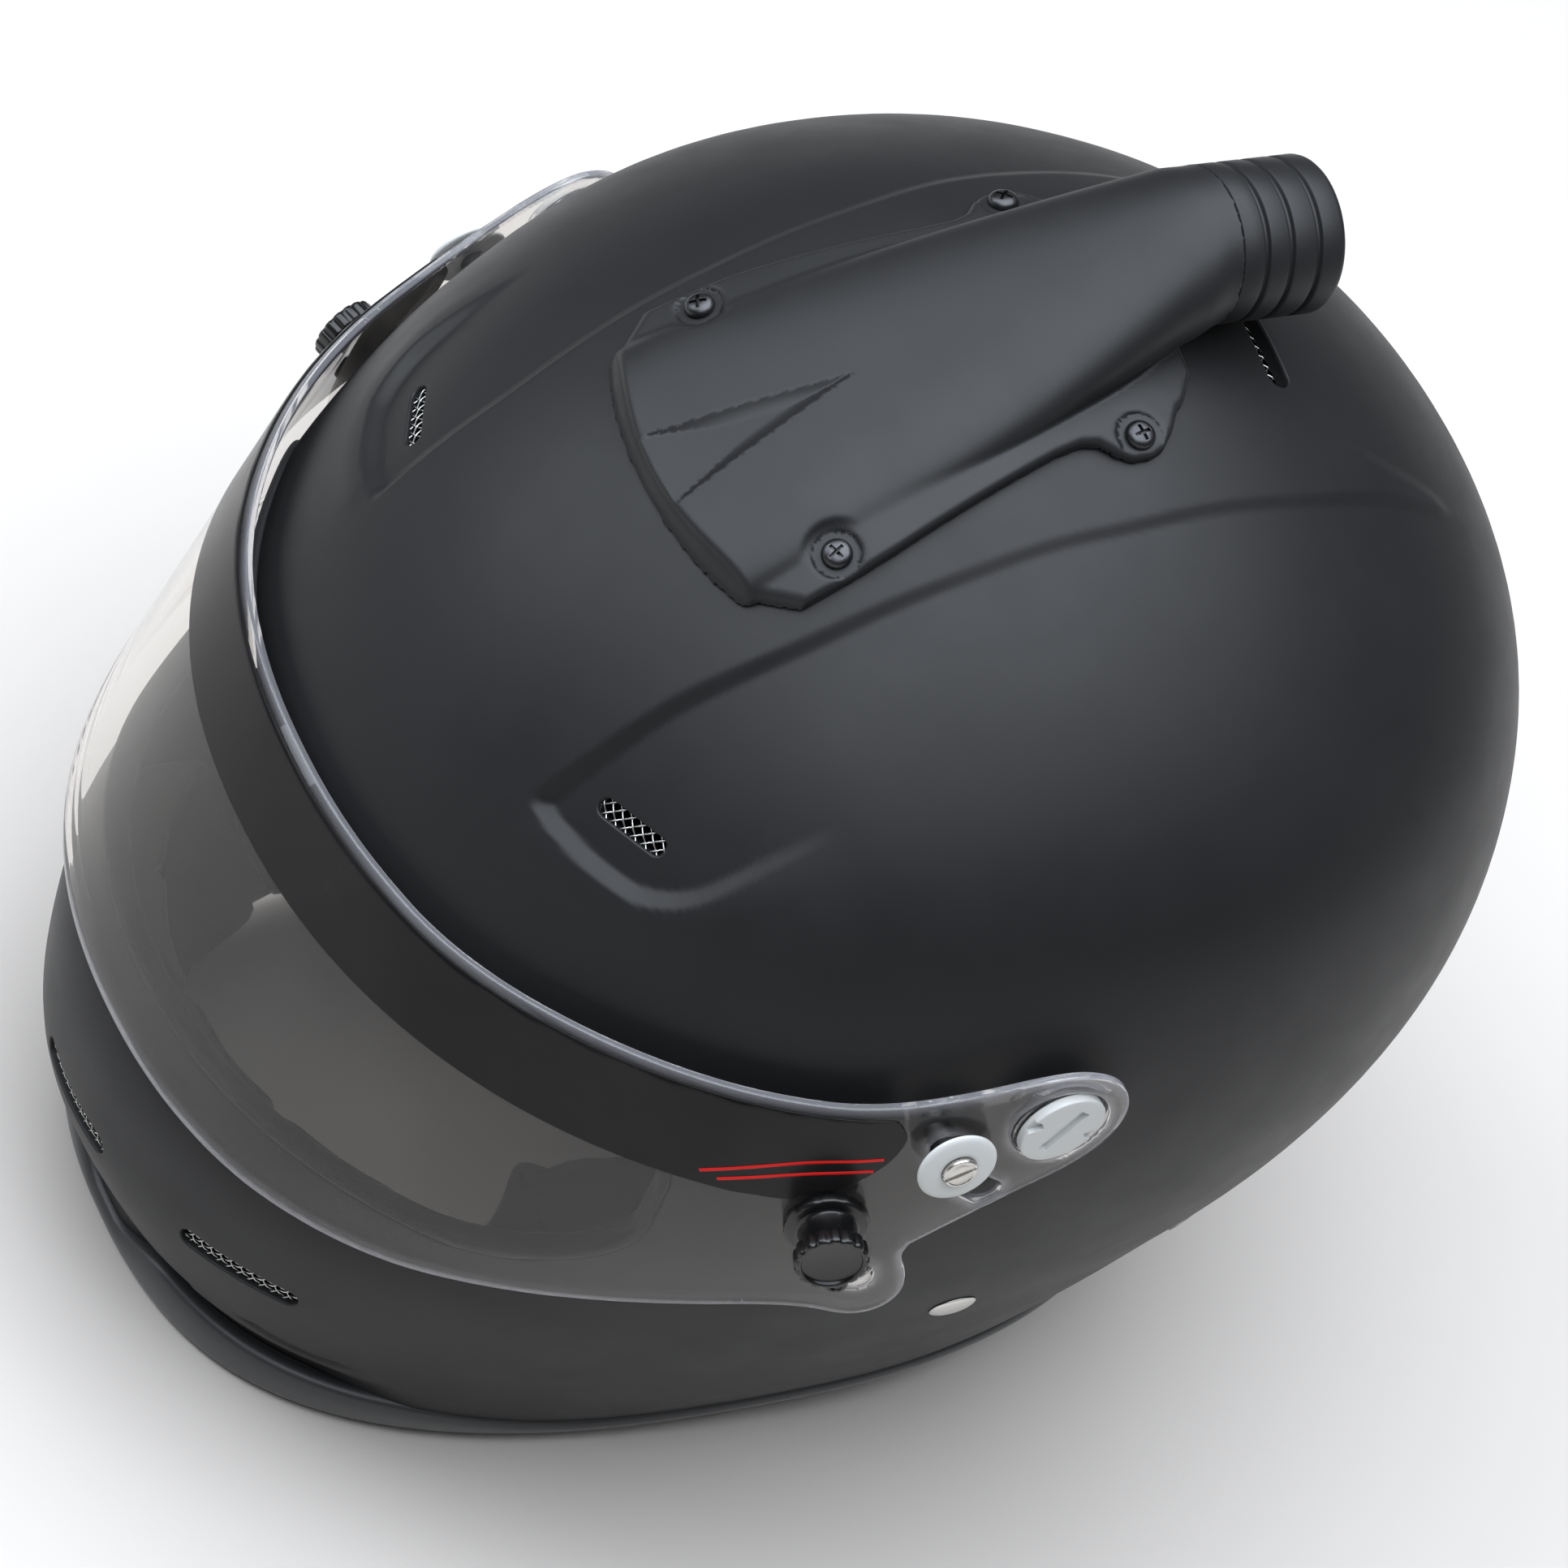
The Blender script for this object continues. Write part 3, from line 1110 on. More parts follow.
def v_holes(Q):
    ds = [np.hypot(Q[:, 0] - PIVOT[0], Q[:, 1] - PIVOT[1]) - 10.4, arc_dist(Q) - LIM_W / 2,
          np.hypot(Q[:, 0] - TAB[0], Q[:, 1] - TAB[1]) - 3.4, np.hypot(Q[:, 0] - POST[0], Q[:, 1] - POST[1]) - 2.9]
    return np.minimum.reduce(ds)


V_LIP = 0.55


def v_phi(a, th):
    P = v_base(a, th)
    N = v_n(a, th)
    return np.minimum(side_dist(P, N, VISOR_OUT) - V_LIP, v_holes(P[:, 1:3]) - V_LIP)


def v_outer(a, th):
    P = v_base(a, th)
    N = v_n(a, th)
    s = side_dist(P, N, VISOR_OUT)
    h = v_holes(P[:, 1:3])
    d = -1.15 * (1 - np.clip(s / 2.6, 0, 1)) ** 1.0          # bevel along the edge
    d -= 0.55 * (1 - smooth(0.2, 1.7, h)) * (h < 1.8)          # softened rims of the holes
    low = (P[:, 2] < 118) & (P[:, 1] < -48)
    for at, dep in ((6.0, 0.15), (9.0, 0.11)):
        d -= np.where(low, dep * np.exp(-(((s - at) / 0.95) ** 2)), 0) * (1 - smooth(88, 112, P[:, 2]))
    return P + N * d[:, None]


def v_inner(a, th):
    P, N = v_base(a, th), v_n(a, th)
    s = side_dist(P, N, VISOR_OUT)
    return P - N * (V_T - 0.45 * (1 - np.clip(s / 1.5, 0, 1)))[:, None]


def v_want(P):
    Q = P[:, 1:3]
    s = np.abs(poly_sd(Q, VISOR_OUT))
    w = 1.1 + 0.24 * np.maximum(s - 3.0, 0)
    w = np.minimum(w, 0.65 + 0.3 * np.maximum(np.abs(v_holes(Q)) - 1.6, 0))
    w = np.where((np.abs(s - 7.5) < 5.5) & (P[:, 2] < 116) & (P[:, 1] < -44), np.minimum(w, 0.95), w)
    return np.minimum(w, 4.6)


vp = Patch(v_outer, v_phi, v_want, (0.02, 0.90), (-PI + 0.0005, -0.0005), 24, 64, levels=3)
V, F, NN, _ = rimmed(vp, V_LIP, V_T, under=v_inner, k=3)
parts_v, parts_f, parts_n = [V], [F], [NN]
# thin web under each pivot screw's head, with the running hole
for side in (1, -1):
    ang = np.arange(72) * 2 * PI / 72
    rows = []
    for r_, x_ in ((7.05, 127.62), (7.05, 128.0), (10.3, 128.0), (10.45, 128.15), (10.45, 127.62)):
        rows.append(np.stack([np.full(72, side * x_), PIVOT[0] + r_ * np.cos(ang), PIVOT[1] + r_ * np.sin(ang)], -1))
    W = np.vstack(rows)
    WF = []
    for i in range(5):
        j = (i + 1) % 5
        for k in range(72):
            k2 = (k + 1) % 72
            q = [i * 72 + k, i * 72 + k2, j * 72 + k2, j * 72 + k]
            WF.append(q if side < 0 else q[::-1])
    parts_v.append(W)
    parts_f.append(WF)
n0 = len(V)
V, F = join(list(zip(parts_v, parts_f)))
visor_ob = place("visor_sheet", V, F, M["visor"], "visor", instead=["visor"])
pale_rim = np.ones(len(V), np.float32)
n_pt = len(vp.P)
near_cut = np.minimum(side_dist(vp.P, vp.N, VISOR_OUT), v_holes(vp.P[:, 1:3]))
pale_rim[:n_pt] = np.exp(-((np.maximum(near_cut - 0.3, 0) / 1.5) ** 2))
pale_rim[n0 - n_pt:n0] = pale_rim[:n_pt]
pale_rim[n0:] = 0.4
visor_ob.data.attributes.new("cut_edge", "FLOAT", "POINT").data.foreach_set("value", pale_rim)
flat = np.zeros(len(visor_ob.data.vertices) * 3)
visor_ob.data.vertices.foreach_get("normal", flat)
base_n = flat.reshape(-1, 3)
base_n[:n0] = NN
visor_ob.data.normals_split_custom_set_from_vertices(unit(base_n).tolist())

# ---------------------------------------------------------------- sun strip


def s_phi(a, th):
    P = v_base(a, th)
    N = v_n(a, th)
    return np.minimum(side_dist(P, N, STRIP_OUT), np.hypot(P[:, 1] - POST[0], P[:, 2] - POST[1]) - 9.6)


def s_want(P):
    s = np.abs(poly_sd(P[:, 1:3], STRIP_OUT))
    return np.minimum(1.2 + 0.3 * s, 4.5)


def lifted(d):
    return lambda a, th: v_base(a, th, 0) + v_n(a, th) * d


def strip_out(a, th):
    P = v_base(a, th)
    N = v_n(a, th)
    s = side_dist(P, N, VISOR_OUT)
    d = -1.15 * (1 - np.clip(s / 2.6, 0, 1))
    return P + N * (0.36 + d)[:, None]


def strip_in(a, th):
    P = v_base(a, th)
    N = v_n(a, th)
    s = side_dist(P, N, VISOR_OUT)
    d = -1.15 * (1 - np.clip(s / 2.6, 0, 1))
    return P + N * (0.05 + d)[:, None]


sp = Patch(strip_out, s_phi, s_want, (0.18, 0.46), (-PI + 0.0005, -0.0005), 8, 64, levels=3)
V, F, NN, _ = rimmed(sp, 0.12, 0.3, under=strip_in, k=2)
place("sun_strip_film", V, F, M["strip"], "visor", normals=NN, instead=["sun_strip"])


def ribbon(pts, width, lift, side=1):
    """Flat stripe lying on the visor's outer face along side-view points."""
    q = catmull(pts, 14)
    y, z = q[:, 0], q[:, 1]
    t = unit(np.gradient(q, axis=0))
    nrm = np.stack([-t[:, 1], t[:, 0]], -1)
    rows = []
    for k in (-0.5, 0.5):
        yy, zz = y + nrm[:, 0] * width * k, z + nrm[:, 1] * width * k
        reach = V_YC + V_REACH - (zz - 67) * V_RAKE
        x = V_HALF * (1 - (np.abs(yy - V_YC) / reach) ** V_N) ** (1 / V_N)
        P = np.stack([x, yy, zz], -1)
        e = 0.05
        xf = lambda a, b: V_HALF * (1 - (np.abs(a - V_YC) / (V_YC + V_REACH - (b - 67) * V_RAKE)) ** V_N) ** (1 / V_N)
        dy, dz = (xf(yy + e, zz) - xf(yy - e, zz)) / (2 * e), (xf(yy, zz + e) - xf(yy, zz - e)) / (2 * e)
        N = unit(np.stack([np.ones_like(dy), -dy, -dz], -1))
        rows.append((P, N))
    V = np.vstack([rows[0][0] + rows[0][1] * lift, rows[1][0] + rows[1][1] * lift,
                   rows[1][0] + rows[1][1] * (lift - 0.06), rows[0][0] + rows[0][1] * (lift - 0.06)])
    n = len(q)
    F = []
    for i in range(n - 1):
        for a in range(4):
            b = (a + 1) % 4
            F.append([a * n + i, a * n + i + 1, b * n + i + 1, b * n + i])
    F += [[0, n, 2 * n, 3 * n], [3 * n + n - 1, 2 * n + n - 1, n + n - 1, n - 1]]
    V = V * [side, 1, 1]
    if side < 0:
        F = [f[::-1] for f in F]
    return V, F


UP_LINE = [(-88, 128), (-71.2, 136.8), (-60.2, 140.4), (-55.8, 141.8)]
DOWN_LINE = [(-84.5, 127.0), (-70.3, 133.6), (-59.2, 137.2), (-56.8, 137.9)]
stripes = [ribbon(pts, 0.85, 0.45, side) for side in (1, -1) for pts in (UP_LINE, DOWN_LINE)]
V, F = join(stripes)
place("strip_pinstripes", V, F, M["red"], "visor")


# ---------------------------------------------------------------- fittings
def carve(base, cutters, name="carve"):
    """Solid with other solids cut out of it; returns vertices and faces."""
    def temp(v, f):
        me = bpy.data.meshes.new(name)
        me.from_pydata(np.asarray(v, float).tolist(), [], f)
        me.update()
        ob = bpy.data.objects.new(name, me)
        bpy.context.scene.collection.objects.link(ob)
        return ob

    main = temp(*base)
    others = [temp(*c) for c in cutters]
    for o in others:
        md = main.modifiers.new("cut", "BOOLEAN")
        md.operation, md.object, md.solver = "DIFFERENCE", o, "EXACT"
    dg = bpy.context.evaluated_depsgraph_get()
    ev = main.evaluated_get(dg).to_mesh()
    V = np.array([v.co[:] for v in ev.vertices])
    F = [list(p.vertices) for p in ev.polygons]
    main.evaluated_get(dg).to_mesh_clear()
    for o in [main] + others:
        me = o.data
        bpy.data.objects.remove(o)
        bpy.data.meshes.remove(me)
    return V, F


def block(size, centre, x, y, z):
    """Box of the given size in its own axes."""
    s = np.array(size) / 2.0
    V = []
    for i in (-1, 1):
        for j in (-1, 1):
            for k in (-1, 1):
                V.append(np.array(centre) + i * s[0] * np.array(x) + j * s[1] * np.array(y) + k * s[2] * np.array(z))
    F = [[0, 1, 3, 2], [4, 6, 7, 5], [0, 4, 5, 1], [2, 3, 7, 6], [0, 2, 6, 4], [1, 5, 7, 3]]
    if np.dot(np.cross(x, y), z) < 0:
        F = [f[::-1] for f in F]
    return np.array(V), F


def turned(profile, seg, axis, origin, x_dir=None, wobble=None):
    """Lathe whose radius may vary round the rim: wobble(angle, r, h) gives the factor."""
    V, F = lathe(profile, seg, axis, origin, x_dir)
    if wobble is None:
        return V, F
    z = unit(np.array(axis, float))
    o = np.array(origin, float)
    x = unit(np.array(x_dir, float) - (np.array(x_dir, float) @ z) * z)
    y = np.cross(z, x)
    d = V - o
    h = d @ z
    a, b = d @ x, d @ y
    r = np.hypot(a, b)
    k = wobble(np.arctan2(b, a), r, h)
    return o + h[:, None] * z + (a * k)[:, None] * x + (b * k)[:, None] * y, F


def visor_frame(y, z, side):
    xf = lambda a, b: V_HALF * (1 - (abs(a - V_YC) / (V_YC + V_REACH - (b - 67) * V_RAKE)) ** V_N) ** (1 / V_N)
    e = 0.05
    dy, dz = (xf(y + e, z) - xf(y - e, z)) / (2 * e), (xf(y, z + e) - xf(y, z - e)) / (2 * e)
    n = unit(np.array([1.0, -dy, -dz]))
    return np.array([side * xf(y, z), y, z]), n * [side, 1, 1]


# tear-off posts: flange, neck, ribbed head with a recessed face, locking tab
posts = []
for side in (1, -1):
    o, n = visor_frame(POST[0], POST[1], side)
    up = np.array([0, 0.0, 1.0])
    prof = [(0, -4.6), (2.45, -4.6), (2.5, -4.3), (2.5, 0.03), (8.6, 0.03), (8.95, 0.3), (9.0, 0.7), (9.0, 1.9), (8.8, 2.4), (8.3, 2.65), (6.9, 2.75),
            (6.4, 2.95), (6.2, 3.4), (6.2, 7.6), (6.35, 8.0), (6.9, 8.2), (7.5, 8.3), (7.85, 8.7), (7.9, 9.2), (7.9, 11.4), (7.8, 11.9),
            (7.45, 12.2), (6.75, 12.2), (6.45, 12.05), (6.35, 11.75), (6.3, 11.45), (5.9, 11.35), (0, 11.35)]

    def ribs(ang, r, h):
        k = 0.5 + 0.5 * np.cos(16 * ang)
        dip = smooth(0.35, 0.95, k)
        on = ((r > 7.2) & (h > 8.2)).astype(float)
        dip2 = smooth(0.6, 0.98, 0.5 + 0.5 * np.cos(12 * ang + 0.4))
        on2 = ((r > 8.4) & (h < 2.5) & (h > 0)).astype(float)
        return 1 - on * 0.055 * dip - on2 * 0.012 * dip2

    V, F = turned(prof, 160, n, o, up, ribs)
    posts.append((V, F))
    y = np.cross(n, up)
    y = unit(y)
    x = np.cross(y, n)
    # tab under the head, with its small eye
    low = -x
    posts.append(block((2.4, 4.8, 1.7), o + n * 9.4 + low * 8.1 + y * side * -2.4, x, y, n))
    ring = [(o + n * 9.3 + low * (8.9 + 1.7 * math.cos(t)) + y * (side * -4.0 + 1.9 * math.sin(t))) for t in np.linspace(0, 2 * PI, 28, endpoint=False)]
    posts.append(tube(ring, 0.72, 10, closed=True))
V, F = join(posts)
ob = place("posts_turned", V, F, M["post"], "visor", instead=["tear_off_posts"])


def soften(ob, width_mm, segments=3, angle=32):
    md = ob.modifiers.new("soft_edges", "BEVEL")
    md.width = width_mm * 0.001
    md.segments = segments
    md.limit_method = "ANGLE"
    md.angle_limit = math.radians(angle)
    md.harden_normals = False
    sm = ob.modifiers.new("face_weight", "WEIGHTED_NORMAL")
    sm.keep_sharp = False
    return ob


def disc(r, h0, h1, e, seg=96, crown=0.0, axis=(1, 0, 0), origin=(0, 0, 0), x_dir=(0, 1, 0)):
    pr = [(0, h0), (r - e * 0.6, h0), (r, h0 + e * 0.6), (r, h1 - e), (r - e * 0.3, h1 - e * 0.3), (r - e, h1)]
    for k in (0.8, 0.55, 0.3):
        pr.append((r * k, h1 + crown * (1 - k * k)))
    pr.append((0, h1 + crown))
    return lathe(pr, seg, axis, origin, x_dir)


# pivot screws: broad flat head with a diagonal slot and two rim notches
screws = []
for side in (1, -1):
    ax = np.array([side, 0, 0.0])
    o = np.array([side * 128.25, PIVOT[0], PIVOT[1]])
    yv, zv = np.array([0, 1.0, 0]), np.array([0, 0, 1.0])
    head = disc(9.75, 0.0, 2.35, 0.55, 120, 0.08, ax, o)
    # the plane's second axis points opposite ways on the two sides
    sgn = side

    def turn(deg):
        a = math.radians(deg)
        run = math.cos(a) * yv + math.sin(a) * sgn * zv
        return run, np.cross(ax, run)

    run, cross_ = turn(58)
    cuts = [block((12.4, 3.0, 3.0), o + ax * (1.25 + 1.5), run, cross_, ax)]
    for da in (-22, 158):
        r2, c2 = turn(da)
        cuts.append(block((4.6, 2.6, 3.0), o + ax * (1.25 + 1.5) + r2 * 9.75, r2, c2, ax))
        r3, c3 = turn(da + 38)
        cuts.append(block((3.4, 1.5, 3.0), o + ax * (1.25 + 1.5) + r2 * 8.1 + c2 * 0.6, r3, c3, ax))
    V, F = carve(head, cuts)
    screws.append((V, F))
    screws.append(lathe([(0, 0.05), (3.0, 0.05), (3.0, -12.6), (2.5, -12.99), (0, -12.99)], 40, ax, o)[0:2])
V, F = join([(v, f if i % 2 == 0 else [q[::-1] for q in f]) for i, (v, f) in enumerate(screws)])
ob = place("pivot_screw_heads", V, F, M["pale"], "shell", instead=["pivot_screws"], smooth_shade=False)
soften(ob, 0.22, 2, 40)


def limit_frame(side, h):
    n = unit(np.array([1.0, -0.12, 0.15]))
    y = PIVOT[0] + LIM_R * math.cos(math.radians(LIM_A))
    z = PIVOT[1] + LIM_R * math.sin(math.radians(LIM_A))
    o = np.array([128.9 + h * n[0], y + h * n[1], z + h * n[2]]) * [side, 1, 1]
    return o, n * [side, 1, 1]


washers, lscrews = [], []
for side in (1, -1):
    o, n = limit_frame(side, 0.0)
    washers.append(lathe([(1.65, 0.0), (8.3, 0.0), (8.7, 0.25), (8.75, 0.6), (8.55, 0.95), (7.85, 1.25), (7.6, 1.33), (6.5, 1.52),
                          (4.8, 1.68), (4.05, 1.72), (3.95, 1.66), (3.9, 1.5), (1.65, 1.5)], 110, n, o, (0, 1, 0.1), closed=True))
    o2, n2 = limit_frame(side, 1.52)
    yv = unit(np.array([0, 1, 0.12]) - (np.array([0, 1, 0.12]) @ n2) * n2)
    zv = np.cross(n2, yv)
    head = lathe([(0, 0), (3.5, 0), (3.75, 0.25), (3.75, 1.0), (3.55, 1.28), (3.1, 1.38), (2.95, 1.22), (2.7, 1.2), (2.5, 1.3), (0, 1.42)], 84, n2, o2, yv)
    a = math.radians(20)
    run = math.cos(a) * yv + math.sin(a) * zv
    V, F = carve(head, [block((9.0, 1.0, 2.0), o2 + n2 * (0.62 + 1.0), run, np.cross(n2, run), n2)])
    lscrews.append((V, F))
    lscrews.append(lathe([(0, 0.02), (1.5, 0.02), (1.5, -6.4), (0, -6.4)], 30, n2, o2, yv))
V, F = join(washers)
place("limiter_washer_discs", V, F, M["pale"], "shell", instead=["limiter_washers"])
V, F = join([(v, f if i % 2 == 0 else [q[::-1] for q in f]) for i, (v, f) in enumerate(lscrews)])
ob = place("limiter_screw_heads", V, F, M["steel"], "shell", instead=["limiter_screws"], smooth_shade=False)
soften(ob, 0.12, 2, 35)

# domed rivets and detent pegs
riv, pegs = [], []
for side in (1, -1):
    o, n = side_foot(-8.9, 70.1, 0.0, side)
    riv.append(lathe([(0, 1.28), (1.6, 1.24), (3.0, 1.08), (4.1, 0.82), (4.8, 0.55), (5.2, 0.3), (5.3, 0.1), (5.22, 0.06), (2.4, 0.06), (2.4, -8.2),
                      (5.0, -8.2), (5.0, -9.1), (4.7, -9.25), (0, -9.25)][::-1], 90, n, o))
    o, n = side_foot(TAB[0], TAB[1], 0.0, side)
    pegs.append(lathe([(0, -4.7), (1.5, -4.7), (1.5, 0.12), (2.85, 0.12), (2.9, 0.3), (2.62, 1.7), (2.3, 2.35), (1.9, 2.5), (0, 2.5)], 56, n, o))
V, F = join(riv)
place("rivet_domes", V, F, M["satin"], "shell", instead=["strap_rivets"])
V, F = join(pegs)
place("detent_peg_buttons", V, F, M["bush"], "shell", instead=["detent_pegs"])

# pan-head screws of the scoop
sc = []
SCREWS = [(33.8, -56.5), (-33.8, -56.5), (32.3, 6.8), (-32.3, 6.8)]
for i, (sx, sy) in enumerate(SCREWS):
    o, n = top_foot(sx, sy, 2.6)
    xv = unit(np.cross([0, 1.0, 0], n))
    yv = np.cross(n, xv)
    head = lathe([(0, 0.0), (3.25, 0.0), (3.3, 0.45), (3.15, 1.05), (2.75, 1.6), (2.1, 1.95), (1.2, 2.12), (0, 2.18)], 72, n, o, xv)
    a = math.radians((25, 61, 12, 40)[i])
    run = math.cos(a) * xv + math.sin(a) * yv
    crs = np.cross(n, run)
    V, F = carve(head, [block((3.7, 0.75, 2.4), o + n * (1.0 + 1.2), run, crs, n), block((0.75, 3.7, 2.4), o + n * (1.0 + 1.2), run, crs, n)])
    sc.append((V, F))
    sc.append(lathe([(0, -13.25), (1.9, -13.25), (1.9, 0.02), (0, 0.02)], 30, n, o, xv))
V, F = join(sc)
ob = place("scoop_screw_heads", V, F, M["black_steel"], "shell", instead=["scoop_screws"], smooth_shade=False)
soften(ob, 0.12, 2, 35)

# ------------------------------------------------------------- vent meshes


def on_law(slot, a, b, top=False):
    Q = slot.o + a[:, None] * slot.x + b[:, None] * slot.y
    if top:
        z = top_z(Q[:, 0], Q[:, 1])
        e = 0.4
        g = np.stack([-(top_z(Q[:, 0] + e, Q[:, 1]) - top_z(Q[:, 0] - e, Q[:, 1])) / (2 * e),
                      -(top_z(Q[:, 0], Q[:, 1] + e) - top_z(Q[:, 0], Q[:, 1] - e)) / (2 * e), np.ones(len(Q))], -1)
        return np.stack([Q[:, 0], Q[:, 1], z], -1), unit(g)
    return front_points(Q[:, 0], Q[:, 2])


def woven(slot, sink, pitch=1.9, r=0.21, grow=2.4, top=False):
    out = []
    hl, hw = slot.half + slot.r + grow, slot.r + grow
    s2 = math.sqrt(0.5)
    for fam in (0, 1):
        d = np.array([s2, s2]) if fam == 0 else np.array([s2, -s2])
        q = np.array([-d[1], d[0]])
        reach = (hl + hw) * s2
        k0 = int(reach / pitch) + 1
        for k in range(-k0, k0 + 1):
            c = q * (k * pitch)
            t = np.arange(-reach - 2, reach + 2, 0.32)
            A = c[0] + d[0] * t
            B = c[1] + d[1] * t
            inside = np.hypot(A - np.clip(A, -slot.half, slot.half), B) < slot.r + grow
            if inside.sum() < 4:
                continue
            idx = np.where(inside)[0]
            A, B, tt = A[idx], B[idx], t[idx]
            P, N = on_law(slot, A, B, top)
            wv = r * 1.02 * np.cos(PI * tt / pitch + PI * k + (PI if fam else 0))
            out.append(tube(P + N * (sink + wv)[:, None], r, 6))
    return join(out)


MESH_SINK = -WALL - 0.55
V, F = join([woven(s, -1.5, grow=0.4) for s in SLOTS[:3]])
place("chin_vent_screens", V, F, M["wire"], "shell", instead=["chin_vent_meshes"])
V, F = join([woven(s, MESH_SINK) for s in SLOTS[3:5]])
place("brow_vent_screens", V, F, M["wire"], "shell", instead=["brow_vent_meshes"])
V, F = woven(SLOTS[5], MESH_SINK, top=True)
place("rear_vent_screen", V, F, M["wire"], "shell", instead=["rear_vent_mesh"])

# plain turned pieces keep their CAD shape and take their finish here
KEPT = {"eps_liner": "eps", "pivot_bushes": "bush", "limiter_bosses": "bush", "scoop_nuts": "insert", "anchor_inserts": "insert",
        "d_ring_outer": "steel", "d_ring_inner": "steel"}


def kept(node_name, mat):
    o = bpy.data.objects[node_name]
    while len(o.data.materials) < 1:
        o.data.materials.append(None)
    for i in range(len(o.data.materials)):
        o.data.materials[i] = mat
    for s in o.material_slots:
        s.material = mat


for kname, kmat in KEPT.items():
    kept(kname, M[kmat])


# ------------------------------------------------------------------ air scoop
ST = np.array([(-77.5, 34.5, 196.0, 225.5, 4.2), (-70.0, 34.2, 204.0, 230.6, 4.0), (-55.0, 32.6, 216.0, 239.8, 3.5),
               (-35.0, 30.6, 228.0, 251.4, 3.0), (-12.0, 26.8, 240.0, 265.4, 2.6), (8.0, 22.2, 249.0, 278.6, 2.3),
               (22.0, 19.0, 254.4, 287.4, 2.1), (31.0, 17.9, 256.1, 291.9, 2.0)])
s_w, s_lo, s_hi, s_n = (spline(ST[:, 0], ST[:, k]) for k in (1, 2, 3, 4))
PLATE_HALF = [(0, -81.6), (10, -80.9), (18.9, -79.6), (26.0, -77.9), (31.8, -75.6), (40.3, -66.0), (39.8, -56.0), (38.6, -47.2), (35.2, -29.4),
              (31.9, -12.0), (31.3, -6.0), (32.2, -2.4), (35.2, 0.8), (37.0, 4.2), (37.2, 8.2), (36.0, 11.6), (33.0, 14.6), (28.6, 17.6), (27.0, 19.8),
              (21.0, 24.2)]
PLATE = np.array(PLATE_HALF + [(-x, y) for x, y in PLATE_HALF[::-1][:-1]])
FRONT_ARC = lambda x: -81.6 + 0.006 * x**2


def recess_depth(x, y):
    ax = np.abs(x)
    xt = 9.2 * np.clip((-42.5 - y) / 38.5, 0, 1.2)
    xf = 9.2 * np.clip((-59.5 - y) / 21.5, 0, 1.2)
    d0 = np.where(y < -59.5, 0.15 + 3.5 * np.clip((y + 81.5) / 22.0, 0, 1), 3.65 * np.clip((-42.5 - y) / 17.0, 0, 1))
    return d0 * np.clip((xt - ax) / np.maximum(xt - xf, 0.05), 0, 1)


def section_f(x, y, z, d):
    w, lo, hi, n = s_w(y) + d, s_lo(y), s_hi(y), s_n(y)
    zc, h = (lo + hi) / 2, (hi - lo) / 2 + d
    w = w - 1.05 * smooth(23.5, 31.0, y) * (1 if d == 0 else 0.4)
    h = h - 1.05 * smooth(23.5, 31.0, y) * (1 if d == 0 else 0.4)
    ax, az = np.abs(x) / w, np.abs(z - zc) / h
    s = ax**n + az**n + 1e-12
    F = s ** (1 / n)
    k = F ** (1 - n)
    gx, gz = k * ax ** (n - 1) / w, k * az ** (n - 1) / h
    return (F - 1) / np.sqrt(gx**2 + gz**2 + 1e-9)


def roof_z(x, y, d=0.0):
    w, lo, hi, n = s_w(y) + d, s_lo(y), s_hi(y), s_n(y)
    zc, h = (lo + hi) / 2, (hi - lo) / 2 + d
    return zc + h * np.clip(1 - np.clip(np.abs(x) / w, 0, 1) ** n, 0, 1) ** (1 / n)


def round_max(a, b, r):
    qa, qb = a + r, b + r
    return np.hypot(np.maximum(qa, 0), np.maximum(qb, 0)) + np.minimum(np.maximum(qa, qb), 0) - r


def soft_min(a, b, k):
    h = np.maximum(k - np.abs(a - b), 0) / k
    return np.minimum(a, b) - h * h * k * 0.25


def soft_max(a, b, k):
    return -soft_min(-a, -b, k)


class Height:
    """Shell height and slope over plan, tabulated once."""

    def __init__(self, x0, x1, y0, y1, step=1.5):
        self.x = np.arange(x0, x1 + step, step)
        self.y = np.arange(y0, y1 + step, step)
        X, Y = np.meshgrid(self.x, self.y, indexing="ij")
        self.z = top_z(X.ravel(), Y.ravel()).reshape(X.shape)
        gx, gy = np.gradient(self.z, step)
        self.nz = 1 / np.sqrt(1 + gx**2 + gy**2)
        self.step = step

    def at(self, x, y):
        i = np.clip((x - self.x[0]) / self.step, 0, len(self.x) - 1.001)
        j = np.clip((y - self.y[0]) / self.step, 0, len(self.y) - 1.001)
        i0, j0 = i.astype(int), j.astype(int)
        a, b = i - i0, j - j0
        mix = lambda t: (t[i0, j0] * (1 - a) * (1 - b) + t[i0 + 1, j0] * a * (1 - b) + t[i0, j0 + 1] * (1 - a) * b + t[i0 + 1, j0 + 1] * a * b)
        return mix(self.z), mix(self.nz)


HT = Height(-46, 46, -90, 40)
SCREW_FRAMES = [top_foot(sx, sy, 0.0) for sx, sy in SCREWS]


